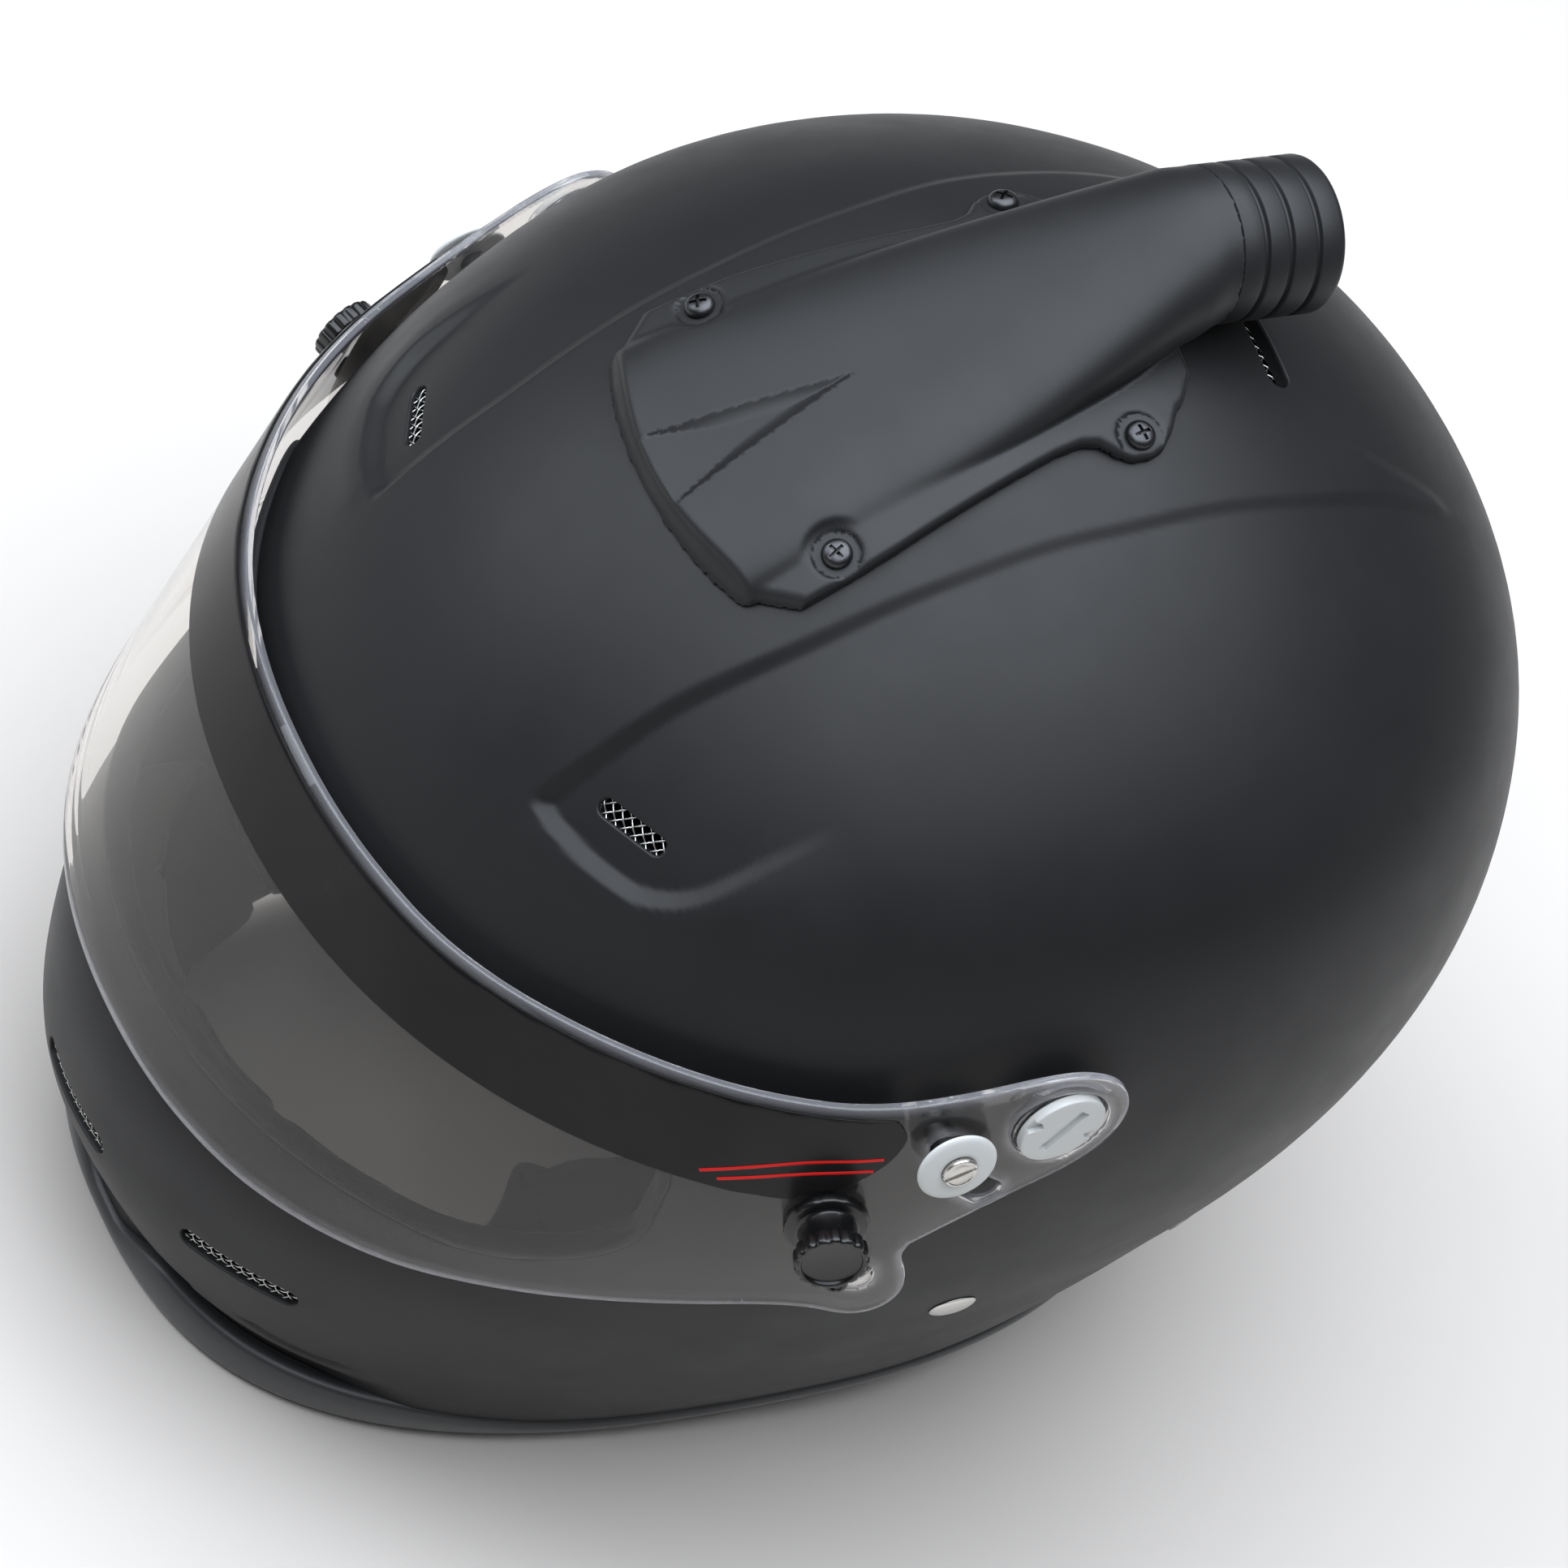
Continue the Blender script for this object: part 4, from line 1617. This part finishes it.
class PlateField:
    """Plan distance to the flange's outline, tabulated."""

    def __init__(self, step=0.5):
        self.x, self.y = np.arange(-48, 48.01, step), np.arange(-92, 44.01, step)
        X, Y = np.meshgrid(self.x, self.y, indexing="ij")
        self.d = -poly_sd(np.stack([X.ravel(), Y.ravel()], -1), PLATE).reshape(X.shape)
        self.step = step

    def at(self, x, y):
        i = np.clip((x - self.x[0]) / self.step, 0, len(self.x) - 1.001)
        j = np.clip((y - self.y[0]) / self.step, 0, len(self.y) - 1.001)
        i0, j0 = i.astype(int), j.astype(int)
        a, b = i - i0, j - j0
        t = self.d
        return t[i0, j0] * (1 - a) * (1 - b) + t[i0 + 1, j0] * a * (1 - b) + t[i0, j0 + 1] * (1 - a) * b + t[i0 + 1, j0 + 1] * a * b


PF = PlateField()


def scoop_f(x, y, z):
    zt, nz = HT.at(x, y)
    h = (z - zt) * nz
    plate = round_max(PF.at(x, y) * 0.9, h - 3.3, 1.3)
    body = section_f(x, y, z, 0.0)
    front = (FRONT_ARC(x) - y) * 0.98
    body = round_max(body, front, 0.9)
    D = recess_depth(x, y)
    cut = (z - (roof_z(x, y) - D)) * 0.84
    body = np.where(D > 0.01, np.maximum(body, cut), body)
    body = np.maximum(body, y - 31.0)
    for i, (o, n) in enumerate(SCREW_FRAMES):
        vx, vy, vz = x - o[0], y - o[1], z - o[2]
        hh = vx * n[0] + vy * n[1] + vz * n[2]
        r = np.sqrt(np.maximum(vx**2 + vy**2 + vz**2 - hh**2, 0))
        if i < 2:
            # side of the body dents in round the front screws
            near = r < 14
            body = np.where(near, soft_max(body, 6.3 - r, 2.2), body)
        plate = np.where(r < 9, soft_max(plate, np.minimum((5.0 - r) * 0.55, hh - 2.55), 0.9), plate)
    f = soft_min(body, plate, 1.1)
    cav = section_f(x, y, z, -2.4)
    cav = np.maximum(cav, -74.5 - y)
    cav = np.maximum(cav, (z - (roof_z(x, y, -2.4) - D + 0.2)) * 0.84)
    f = np.maximum(f, -cav)
    return np.maximum(f, 0.3 - h)


def surface_nets(fn, lo, hi, step):
    lo, hi = np.array(lo, float), np.array(hi, float)
    n = np.ceil((hi - lo) / step).astype(int) + 1
    ax = [lo[i] + step * np.arange(n[i]) for i in range(3)]
    f = np.empty(n)
    chunk = 24
    for s in range(0, n[0], chunk):
        X, Y, Z = np.meshgrid(ax[0][s:s + chunk], ax[1], ax[2], indexing="ij")
        f[s:s + chunk] = fn(X.ravel(), Y.ravel(), Z.ravel()).reshape(X.shape)
    ins = f < 0
    cnt = np.zeros(np.array(n) - 1, int)
    acc = np.zeros((*(np.array(n) - 1), 3))
    edges = []
    for a in range(3):
        sl0 = [slice(None)] * 3
        sl1 = [slice(None)] * 3
        sl0[a], sl1[a] = slice(0, n[a] - 1), slice(1, n[a])
        A, B = f[tuple(sl0)], f[tuple(sl1)]
        crossing = (A < 0) != (B < 0)
        idx = np.argwhere(crossing)
        t = A[crossing] / (A[crossing] - B[crossing])
        pos = idx.astype(float)
        pos[:, a] += t
        o = [k for k in range(3) if k != a]
        for d0 in (0, -1):
            for d1 in (0, -1):
                c = idx.copy()
                c[:, o[0]] += d0
                c[:, o[1]] += d1
                ok = np.all((c >= 0) & (c < np.array(n) - 1), axis=1)
                cc = c[ok]
                np.add.at(cnt, tuple(cc.T), 1)
                np.add.at(acc, tuple(cc.T), pos[ok])
        edges.append((a, idx, A[crossing] < 0))
    used = cnt > 0
    ids = np.full(cnt.shape, -1, int)
    at = np.argwhere(used)
    ids[used] = np.arange(len(at))
    P = lo + step * acc[used] / cnt[used][:, None]
    F = []
    for a, idx, inside in edges:
        u, v = (a + 1) % 3, (a + 2) % 3
        ok = (idx[:, u] > 0) & (idx[:, v] > 0) & (idx[:, u] < n[u] - 1) & (idx[:, v] < n[v] - 1)
        idx, inside = idx[ok], inside[ok]
        q = []
        for du, dv in ((-1, -1), (0, -1), (0, 0), (-1, 0)):
            c = idx.copy()
            c[:, u] += du
            c[:, v] += dv
            q.append(ids[tuple(c.T)])
        q = np.stack(q, 1)
        q[~inside] = q[~inside][:, ::-1]
        F += q.tolist()
    return P, F


def grad(fn, P, e=0.05):
    g = []
    for a in range(3):
        d = np.zeros(3)
        d[a] = e
        Q, R = P + d, P - d
        g.append((fn(*Q.T) - fn(*R.T)) / (2 * e))
    return np.stack(g, -1)


def settle(fn, P, step, times=3):
    P0 = P.copy()
    for _ in range(times):
        g = grad(fn, P)
        f = fn(*P.T)
        mv = -f[:, None] * g / np.maximum((g**2).sum(1, keepdims=True), 0.15)
        ln = np.linalg.norm(mv, axis=1, keepdims=True)
        mv *= np.minimum(1, 0.35 * step / np.maximum(ln, 1e-9))
        P = P + mv
        off = P - P0
        ol = np.linalg.norm(off, axis=1, keepdims=True)
        P = P0 + off * np.minimum(1, 0.75 * step / np.maximum(ol, 1e-9))
    return P


STEP = 0.8
P, F = surface_nets(scoop_f, (-43.3, -84.3, 208.0), (43.3, 32.3, 294.5), STEP)
P = settle(scoop_f, P, STEP)
NN = unit(grad(scoop_f, P, 0.22))
place("scoop_moulding", P, F, M["scoop"], "shell", normals=NN, instead=["air_scoop"])
print("scoop faces", len(F))

# nozzle: straight tube with three hose grooves
NZ0, NZ1, NR, NB = 31.0, 56.5, 16.75, 14.4
prof = [(NB, -2.0), (15.1, -2.0), (15.15, 0.08), (16.55, 0.08), (16.75, 0.3)]
for gy in (5.9, 12.0, 18.8):
    prof += [(NR, gy - 1.15), (NR - 0.06, gy - 0.85), (NR - 0.3, gy - 0.66), (NR - 0.85, gy - 0.52), (NR - 1.1, gy - 0.3), (NR - 1.12, gy),
             (NR - 1.1, gy + 0.3), (NR - 0.85, gy + 0.52), (NR - 0.3, gy + 0.66), (NR - 0.06, gy + 0.85), (NR, gy + 1.15)]
prof += [(NR, 24.0), (NR - 0.2, 24.75), (NR - 0.62, 25.27), (NR - 1.15, 25.5), (NB + 0.35, 25.5), (NB + 0.1, 25.4), (NB, 25.15)]
V, F = lathe(prof, 160, (0, 1, 0), (0, NZ0, 274.0), (1, 0, 0), closed=True)
place("nozzle_turned", V, F, M["scoop"], "shell", instead=["scoop_nozzle"])


# ------------------------------------------------------------------ interior
CEN = np.array([0.0, 7.0, 129.1])


def radius_table():
    ph, ps = np.radians(np.arange(-180, 181, 2.0)), np.radians(np.arange(-20, 91, 2.0))
    A, B = np.meshgrid(ph, ps, indexing="ij")
    D = np.stack([np.cos(B) * np.cos(A), np.cos(B) * np.sin(A), np.sin(B)], -1).reshape(-1, 3)
    lo, hi = np.full(len(D), 20.0), np.full(len(D), 300.0)
    for _ in range(34):
        r = (lo + hi) / 2
        P = CEN + D * r[:, None]
        u = meridian(np.minimum(P[:, 2], CROWN - 0.01))
        w = f_wide(u)
        n = np.where(P[:, 1] < w, f_nf(u), N_BACK)
        b = np.where(P[:, 1] < w, w + f_front(u), f_back(u) - w)
        a = np.maximum(f_half(u), 0.05)
        out = (P[:, 2] >= CROWN) | ((np.abs(P[:, 0]) / a) ** n + (np.abs(P[:, 1] - w) / np.maximum(b, 0.05)) ** n > 1)
        lo, hi = np.where(out, lo, r), np.where(out, r, hi)
    R = ((lo + hi) / 2).reshape(A.shape)
    ga, gb = np.gradient(R, ph[1] - ph[0], ps[1] - ps[0])
    k = 1 / np.sqrt(1 + (ga / (R * np.maximum(np.cos(B), 0.1))) ** 2 + (gb / R) ** 2)
    return ph, ps, R, k


T_PH, T_PS, T_R, T_K = radius_table()


def law_h(x, y, z):
    """Height above the shell's skin, negative inside."""
    v = np.stack([x, y, z], -1) - CEN
    r = np.linalg.norm(v, axis=-1)
    fa = (np.arctan2(v[:, 1], v[:, 0]) - T_PH[0]) / (T_PH[1] - T_PH[0])
    fb = (np.arcsin(np.clip(v[:, 2] / np.maximum(r, 1e-6), -1, 1)) - T_PS[0]) / (T_PS[1] - T_PS[0])
    i, j = np.clip(fa, 0, len(T_PH) - 1.001), np.clip(fb, 0, len(T_PS) - 1.001)
    i0, j0 = i.astype(int), j.astype(int)
    a, b = i - i0, j - j0
    mix = lambda t: t[i0, j0] * (1 - a) * (1 - b) + t[i0 + 1, j0] * a * (1 - b) + t[i0, j0 + 1] * (1 - a) * b + t[i0 + 1, j0 + 1] * a * b
    high = (r - mix(T_R)) * mix(T_K)

    def ring(zz):
        u = meridian(np.clip(zz, -40, 200))
        w = f_wide(u)
        fr = y < w
        n = np.where(fr, f_nf(u), N_BACK)
        bb = np.where(fr, w + f_front(u), f_back(u) - w)
        aa = f_half(u)
        ax, ay = np.abs(x) / aa, np.abs(y - w) / bb
        s = ax**n + ay**n + 1e-9
        return s ** (1 / n), ax, ay, aa, bb, n

    F, ax, ay, aa, bb, n = ring(z)
    k = F ** (1 - n)
    gx, gy = k * ax ** (n - 1) / aa, k * ay ** (n - 1) / bb
    gz = (ring(z + 0.8)[0] - ring(z - 0.8)[0]) / 1.6
    low = (F - 1) / np.sqrt(gx**2 + gy**2 + gz**2)
    t = smooth(112, 142, z)
    return low * (1 - t) + high * t


class SideField:
    """Signed distance to a side-view outline, positive outside, tabulated."""

    def __init__(self, pts, step=1.0):
        p = np.array(pts, float)
        lo, hi = p.min(0) - 40, p.max(0) + 40
        self.y, self.z = np.arange(lo[0], hi[0], step), np.arange(lo[1], hi[1], step)
        Y, Z = np.meshgrid(self.y, self.z, indexing="ij")
        self.d = -poly_sd(np.stack([Y.ravel(), Z.ravel()], -1), p).reshape(Y.shape)
        self.step = step

    def at(self, y, z):
        i = np.clip((y - self.y[0]) / self.step, 0, len(self.y) - 1.001)
        j = np.clip((z - self.z[0]) / self.step, 0, len(self.z) - 1.001)
        i0, j0 = i.astype(int), j.astype(int)
        a, b = i - i0, j - j0
        t = self.d
        return t[i0, j0] * (1 - a) * (1 - b) + t[i0 + 1, j0] * a * (1 - b) + t[i0, j0 + 1] * (1 - a) * b + t[i0 + 1, j0 + 1] * a * b


def ripple(x, y, z, amp=0.28):
    return amp * (np.sin(x * 0.21 + 1.3 * np.sin(y * 0.13)) * np.sin(z * 0.17 + 0.9 * np.sin(x * 0.11)) + 0.5 * np.sin(y * 0.31 + z * 0.23))


def soft_piece(name, fn, lo, hi, step, mat, node_name):
    P, F = surface_nets(fn, lo, hi, step)
    P = settle(fn, P, step)
    ob = place(name, P, F, mat, "shell", normals=unit(grad(fn, P, 0.25 * step)), instead=[node_name])
    print(name, len(F))
    return ob


Q = 1.0
PAD_SIDE = SideField([(-88, 23), (-20, 22.5), (26, 28), (34, 44), (29, 91), (-60, 91), (-92, 72)])
RIV_O, RIV_N = side_foot(-8.9, 70.1, 0.0, 1)


def cheek(side):
    def fn(x, y, z):
        ax = x * side
        h = law_h(ax, y, z)
        slab = np.maximum(h + 7.4, -36.0 - h)
        # cushioned inner face: two channels, a raised rim seam
        d = PAD_SIDE.at(y, z)
        inner = np.clip((-h - 20) / 12, 0, 1)
        chan = 2.6 * np.exp(-(((z - 62 + 0.16 * (y + 20)) / 3.0) ** 2)) + 2.6 * np.exp(-(((y + 44 - 0.25 * (z - 60)) / 3.0) ** 2)) * (z < 62)
        slab = slab + chan * inner + ripple(ax, y, z) * inner
        f = round_max(slab, d, 7.5)
        f = f + 0.55 * np.exp(-((d + 7.0) / 1.1) ** 2) * np.exp(-((h + 33.5) / 3.0) ** 2)
        vx, vy, vz = ax - RIV_O[0], y - RIV_O[1], z - RIV_O[2]
        hh = vx * RIV_N[0] + vy * RIV_N[1] + vz * RIV_N[2]
        rr = np.sqrt(np.maximum(vx**2 + vy**2 + vz**2 - hh**2, 0))
        pocket = np.maximum(rr - 16.5, -10.2 - hh)
        f = np.maximum(f, -pocket)
        return np.where(ax < 5, 30.0, f)

    return fn


for side, nm in ((1, "left"), (-1, "right")):
    xs = (30.0, 112.0) if side > 0 else (-112.0, -30.0)
    soft_piece("cheek_pad_cover_" + nm, cheek(side), (xs[0], -100, 14), (xs[1], 40, 98), 1.35 * Q, M["suede"], "cheek_pad_" + nm)


def chin_f(x, y, z):
    h = law_h(x, y, z)
    slab = np.maximum(h + 5.0, -19.0 - h)
    inner = np.clip((-h - 10) / 7, 0, 1)
    chan = 1.8 * np.exp(-((x / 2.6) ** 2)) + 1.8 * np.exp(-(((np.abs(x) - 34) / 2.6) ** 2))
    slab = slab + (chan + ripple(x, y, z)) * inner
    qx, qz = np.abs(x) - (68 - 14), np.abs(z - 33) - (33 - 14)
    box = np.hypot(np.maximum(qx, 0), np.maximum(qz, 0)) + np.minimum(np.maximum(qx, qz), 0) - 14
    f = round_max(slab, box, 4.5)
    for s in SLOTS[:3]:
        v = np.stack([x, y, z], -1) - s.o
        a, b, c = v @ s.x, v @ s.y, v @ s.n
        d = np.hypot(a - np.clip(a, -s.half, s.half), b) - (s.r + 0.6)
        f = np.where((c > -34) & (c < 12), np.maximum(f, -d), f)
    return np.where(y > -70, 30.0, f)


soft_piece("chin_pad_cover", chin_f, (-74, -166, -4), (74, -84, 70), 1.3 * Q, M["suede"], "chin_bar_pad")

ROLL_SIDE = SideField([(38, 44), (44, 15), (76, 8), (112, -5), (140, -5), (140, 46), (45, 46)])


def roll_f(x, y, z):
    h = law_h(x, y, z)
    slab = np.maximum(h + 3.9, -26.0 - h)
    inner = np.clip((-h - 12) / 10, 0, 1)
    ang = np.arctan2(x, y - 10)
    chan = 1.7 * np.exp(-((((ang * 57.3) % 24 - 12) / 1.7) ** 2))
    slab = slab + (chan + ripple(x, y, z)) * inner
    f = round_max(slab, ROLL_SIDE.at(y, z), 7.0)
    for sd in (1, -1):
        o, n = ANCH[sd]
        v = np.stack([x, y, z], -1) - o
        hh = v @ n
        rr = np.sqrt(np.maximum((v**2).sum(-1) - hh**2, 0))
        f = np.maximum(f, -np.maximum(rr - 9.0, -18.2 - hh))
    return np.where(y < 20, 30.0, f)


ANCH = {s: side_foot(72.0, 52.0, 0.0, s) for s in (1, -1)}
soft_piece("neck_roll_cover", roll_f, (-112, 30, -9), (112, 134, 51), 1.5 * Q, M["trimcloth"], "neck_roll")

LINER_SIDE = SideField([(-190, 147), (-40, 147), (-40, 97), (36, 97), (50, 60), (170, 60), (170, 300), (-190, 300)])
C_OUT, C_IN = -33.1, -40.0


def liner_f(x, y, z):
    h = law_h(x, y, z)
    slab = np.maximum(h - C_OUT, C_IN - h)
    inner = np.clip((-h - 35.5) / 3, 0, 1)
    chan = 2.3 * np.exp(-(((np.abs(x) - 27) / 2.4) ** 2)) * (z > 110)
    chan = np.maximum(chan, 2.3 * np.exp(-(((z - 158 + 0.08 * y) / 2.4) ** 2)) * (np.abs(x) > 27))
    chan = np.maximum(chan, 2.0 * np.exp(-(((y - 15) / 2.4) ** 2)) * (np.abs(x) > 27) * (z > 158))
    chan = np.maximum(chan, 2.0 * np.exp(-(((np.abs(y - 15) - 52) / 2.4) ** 2)) * (np.abs(x) < 27))
    slab = slab + (chan + ripple(x, y, z, 0.22)) * inner
    return round_max(slab, LINER_SIDE.at(y, z), 3.2)


soft_piece("comfort_liner_cloth", liner_f, (-100, -124, 54), (100, 122, 228), 2.1 * Q, M["knit"], "comfort_liner")

# ------------------------------------------------------------- chin straps
STRAP_Y = -8.9


def strap_points(side, zs, d):
    return [side_foot(STRAP_Y, z, d, 1)[0][[0, 2]] for z in zs]


def web(path, width, thick, side, closed=False):
    """Webbing strip with rounded selvedges along an XZ path, across Y."""
    p = np.asarray(path, float)
    t = unit(np.roll(p, -1, 0) - np.roll(p, 1, 0)) if closed else unit(np.gradient(p, axis=0))
    nrm = np.stack([-t[:, 1], t[:, 0]], -1)
    W, Tt = width / 2, thick / 2
    sec = []
    k = 11
    for i in range(k):
        sec.append((-W + Tt + (width - thick) * i / (k - 1), Tt + 0.10 * math.sin(PI * (i % 2))))
    sec += [(W - Tt * 0.3, Tt * 0.7), (W, 0.0), (W - Tt * 0.3, -Tt * 0.7)]
    for i in range(k):
        sec.append((W - Tt - (width - thick) * i / (k - 1), -Tt))
    sec += [(-W + Tt * 0.3, -Tt * 0.7), (-W, 0.0), (-W + Tt * 0.3, Tt * 0.7)]
    sec = np.array(sec)
    m = len(sec)
    n = len(p)
    V = np.zeros((n, m, 3))
    off = sec[None, :, 1]
    V[..., 0] = (p[:, None, 0] + nrm[:, None, 0] * off) * side
    V[..., 2] = p[:, None, 1] + nrm[:, None, 1] * off
    V[..., 1] = STRAP_Y + sec[None, :, 0]
    F = []
    for i in range(n if closed else n - 1):
        i2 = (i + 1) % n
        for a in range(m):
            b = (a + 1) % m
            q = [i * m + a, i * m + b, i2 * m + b, i2 * m + a]
            F.append(q if side > 0 else q[::-1])
    if not closed:
        e0, e1 = list(range(m)), list(range((n - 1) * m, n * m))
        F += ([e0[::-1], e1] if side > 0 else [e0, e1[::-1]])
    return V.reshape(-1, 3), F


def stitch_rows(path, ys, lift, side, pitch=3.1, ln=2.1, r=0.24):
    out = []
    p = np.asarray(path, float)
    s = np.concatenate([[0], np.cumsum(np.linalg.norm(np.diff(p, axis=0), axis=1))])
    t = unit(np.gradient(p, axis=0))
    nrm = np.stack([-t[:, 1], t[:, 0]], -1)
    for yy in ys:
        for s0 in np.arange(1.5, s[-1] - 2.5, pitch):
            q = np.linspace(s0, s0 + ln, 5)
            x = np.interp(q, s, p[:, 0]) + np.interp(q, s, nrm[:, 0]) * (lift + 0.12 * np.sin(np.linspace(0, PI, 5)))
            z = np.interp(q, s, p[:, 1]) + np.interp(q, s, nrm[:, 1]) * (lift + 0.12 * np.sin(np.linspace(0, PI, 5)))
            out.append(tube(np.stack([x * side, np.full(5, STRAP_Y + yy), z], -1), r, 5))
    return out


def dense(pts, step=1.2):
    q = catmull(pts, 12)
    s = np.concatenate([[0], np.cumsum(np.linalg.norm(np.diff(q, axis=0), axis=1))])
    k = np.linspace(0, s[-1], max(6, int(s[-1] / step)))
    return np.stack([np.interp(k, s, q[:, 0]), np.interp(k, s, q[:, 1])], -1)


left = dense(strap_points(1, (78, 70, 60, 48, 36, 26, 19), -6.0) + [(86.6, 13.6), (83.5, 12.25), (76.0, 12.0), (69.3, 12.0)])
right = dense(strap_points(1, (78, 70, 60, 48, 36, 26, 19), -6.0) + [(86.6, 13.6), (83.5, 12.2), (72.0, 12.0), (52.4, 12.0)])
loop = []
for k in range(60):
    a = 2 * PI * k / 60
    cx = 60 + (4.55 if math.cos(a) > 0 else -4.55)
    loop.append((cx + 3.62 * math.cos(a), 12.0 + 3.62 * math.sin(a)))
pieces_l = [web(left, 25.0, 1.6, 1), web(loop, 25.0, 1.5, 1, closed=True)]
stl = stitch_rows(left[-14:], (-10.6, 10.6, -3.5, 3.5), 0.82, 1)
V, F = join(pieces_l + stl)
place("chin_strap_webbing_left", V, F, M["webbing"], "shell", instead=["chin_strap_left"])
tip = dense([(80.0, 12.0), (66.0, 12.0), (52.2, 12.0)])
pieces_r = [web(right, 25.0, 1.6, -1), web(tip - [0, 1.55], 24.4, 1.4, -1)]
str_ = stitch_rows(right[-22:], (-10.6, 10.6), 0.82, -1)
V, F = join(pieces_r + str_)
place("chin_strap_webbing_right", V, F, M["webbing"], "shell", instead=["chin_strap_right"])


# ------------------------------------------------------- camera, light, floor
def area(name, at, look, size, power, tint=(1, 1, 1)):
    l = bpy.data.lights.new(name, "AREA")
    l.shape = "RECTANGLE"
    l.size, l.size_y = size
    l.energy = power
    l.color = tint
    ob = bpy.data.objects.new(name, l)
    bpy.context.scene.collection.objects.link(ob)
    ob.location = at
    ob.rotation_euler = (Vector(look) - Vector(at)).to_track_quat("-Z", "Y").to_euler()
    return ob


scene = bpy.context.scene
cam_data = bpy.data.cameras.new("photo_camera")
cam = bpy.data.objects.new("photo_camera", cam_data)
scene.collection.objects.link(cam)
cr, cu, cn = (0.41375836, 0.85381674, 0.31591294), (-0.75491248, 0.12782737, 0.64324748), (0.50883314, -0.50463564, 0.69744656)
cam.matrix_world = Matrix([[cr[0], cu[0], cn[0], 0.907495], [cr[1], cu[1], cn[1], -0.891909], [cr[2], cu[2], cn[2], 1.388384], [0, 0, 0, 1]])
cam_data.lens = 188.65
cam_data.sensor_width = 36.0
cam_data.shift_x, cam_data.shift_y = -0.04343, -0.04565
cam_data.clip_start, cam_data.clip_end = 0.05, 50.0
scene.camera = cam

bpy.ops.mesh.primitive_plane_add(size=9.0, location=(0, 0, 0))
floor = bpy.context.object
floor.name = "floor"
fm, fnt, fb = mat_base("floor_paper")
fv = coords(fnt)
fnt.links.new(ramp(fnt, noise(fnt, fv, 3, 4, 0.6), [(0.2, (0.615, 0.58, 0.545)), (0.8, (0.645, 0.61, 0.573))]), fb.inputs["Base Color"])
rough_map(fnt, noise(fnt, fv, 150, 3, 0.6), 0.7, 0.9, fb)
fb.inputs["Specular IOR Level"].default_value = 0.25
floor.data.materials.append(fm)

world = bpy.data.worlds.new("studio")
scene.world = world
world.use_nodes = True
bg = world.node_tree.nodes["Background"]
bg.inputs["Color"].default_value = (0.95, 0.97, 1.0, 1)
bg.inputs["Strength"].default_value = 0.10
area("key", (0.0, -0.04, 1.75), (0.0, 0.06, 0.0), (2.35, 2.7), 88.0, (0.87, 0.925, 1.0))
area("brow_box", (-1.4, -1.55, 1.35), (0, 0, 0.15), (1.2, 1.2), 17.0, (0.87, 0.925, 1.0))
scene.view_settings.view_transform = "Standard"
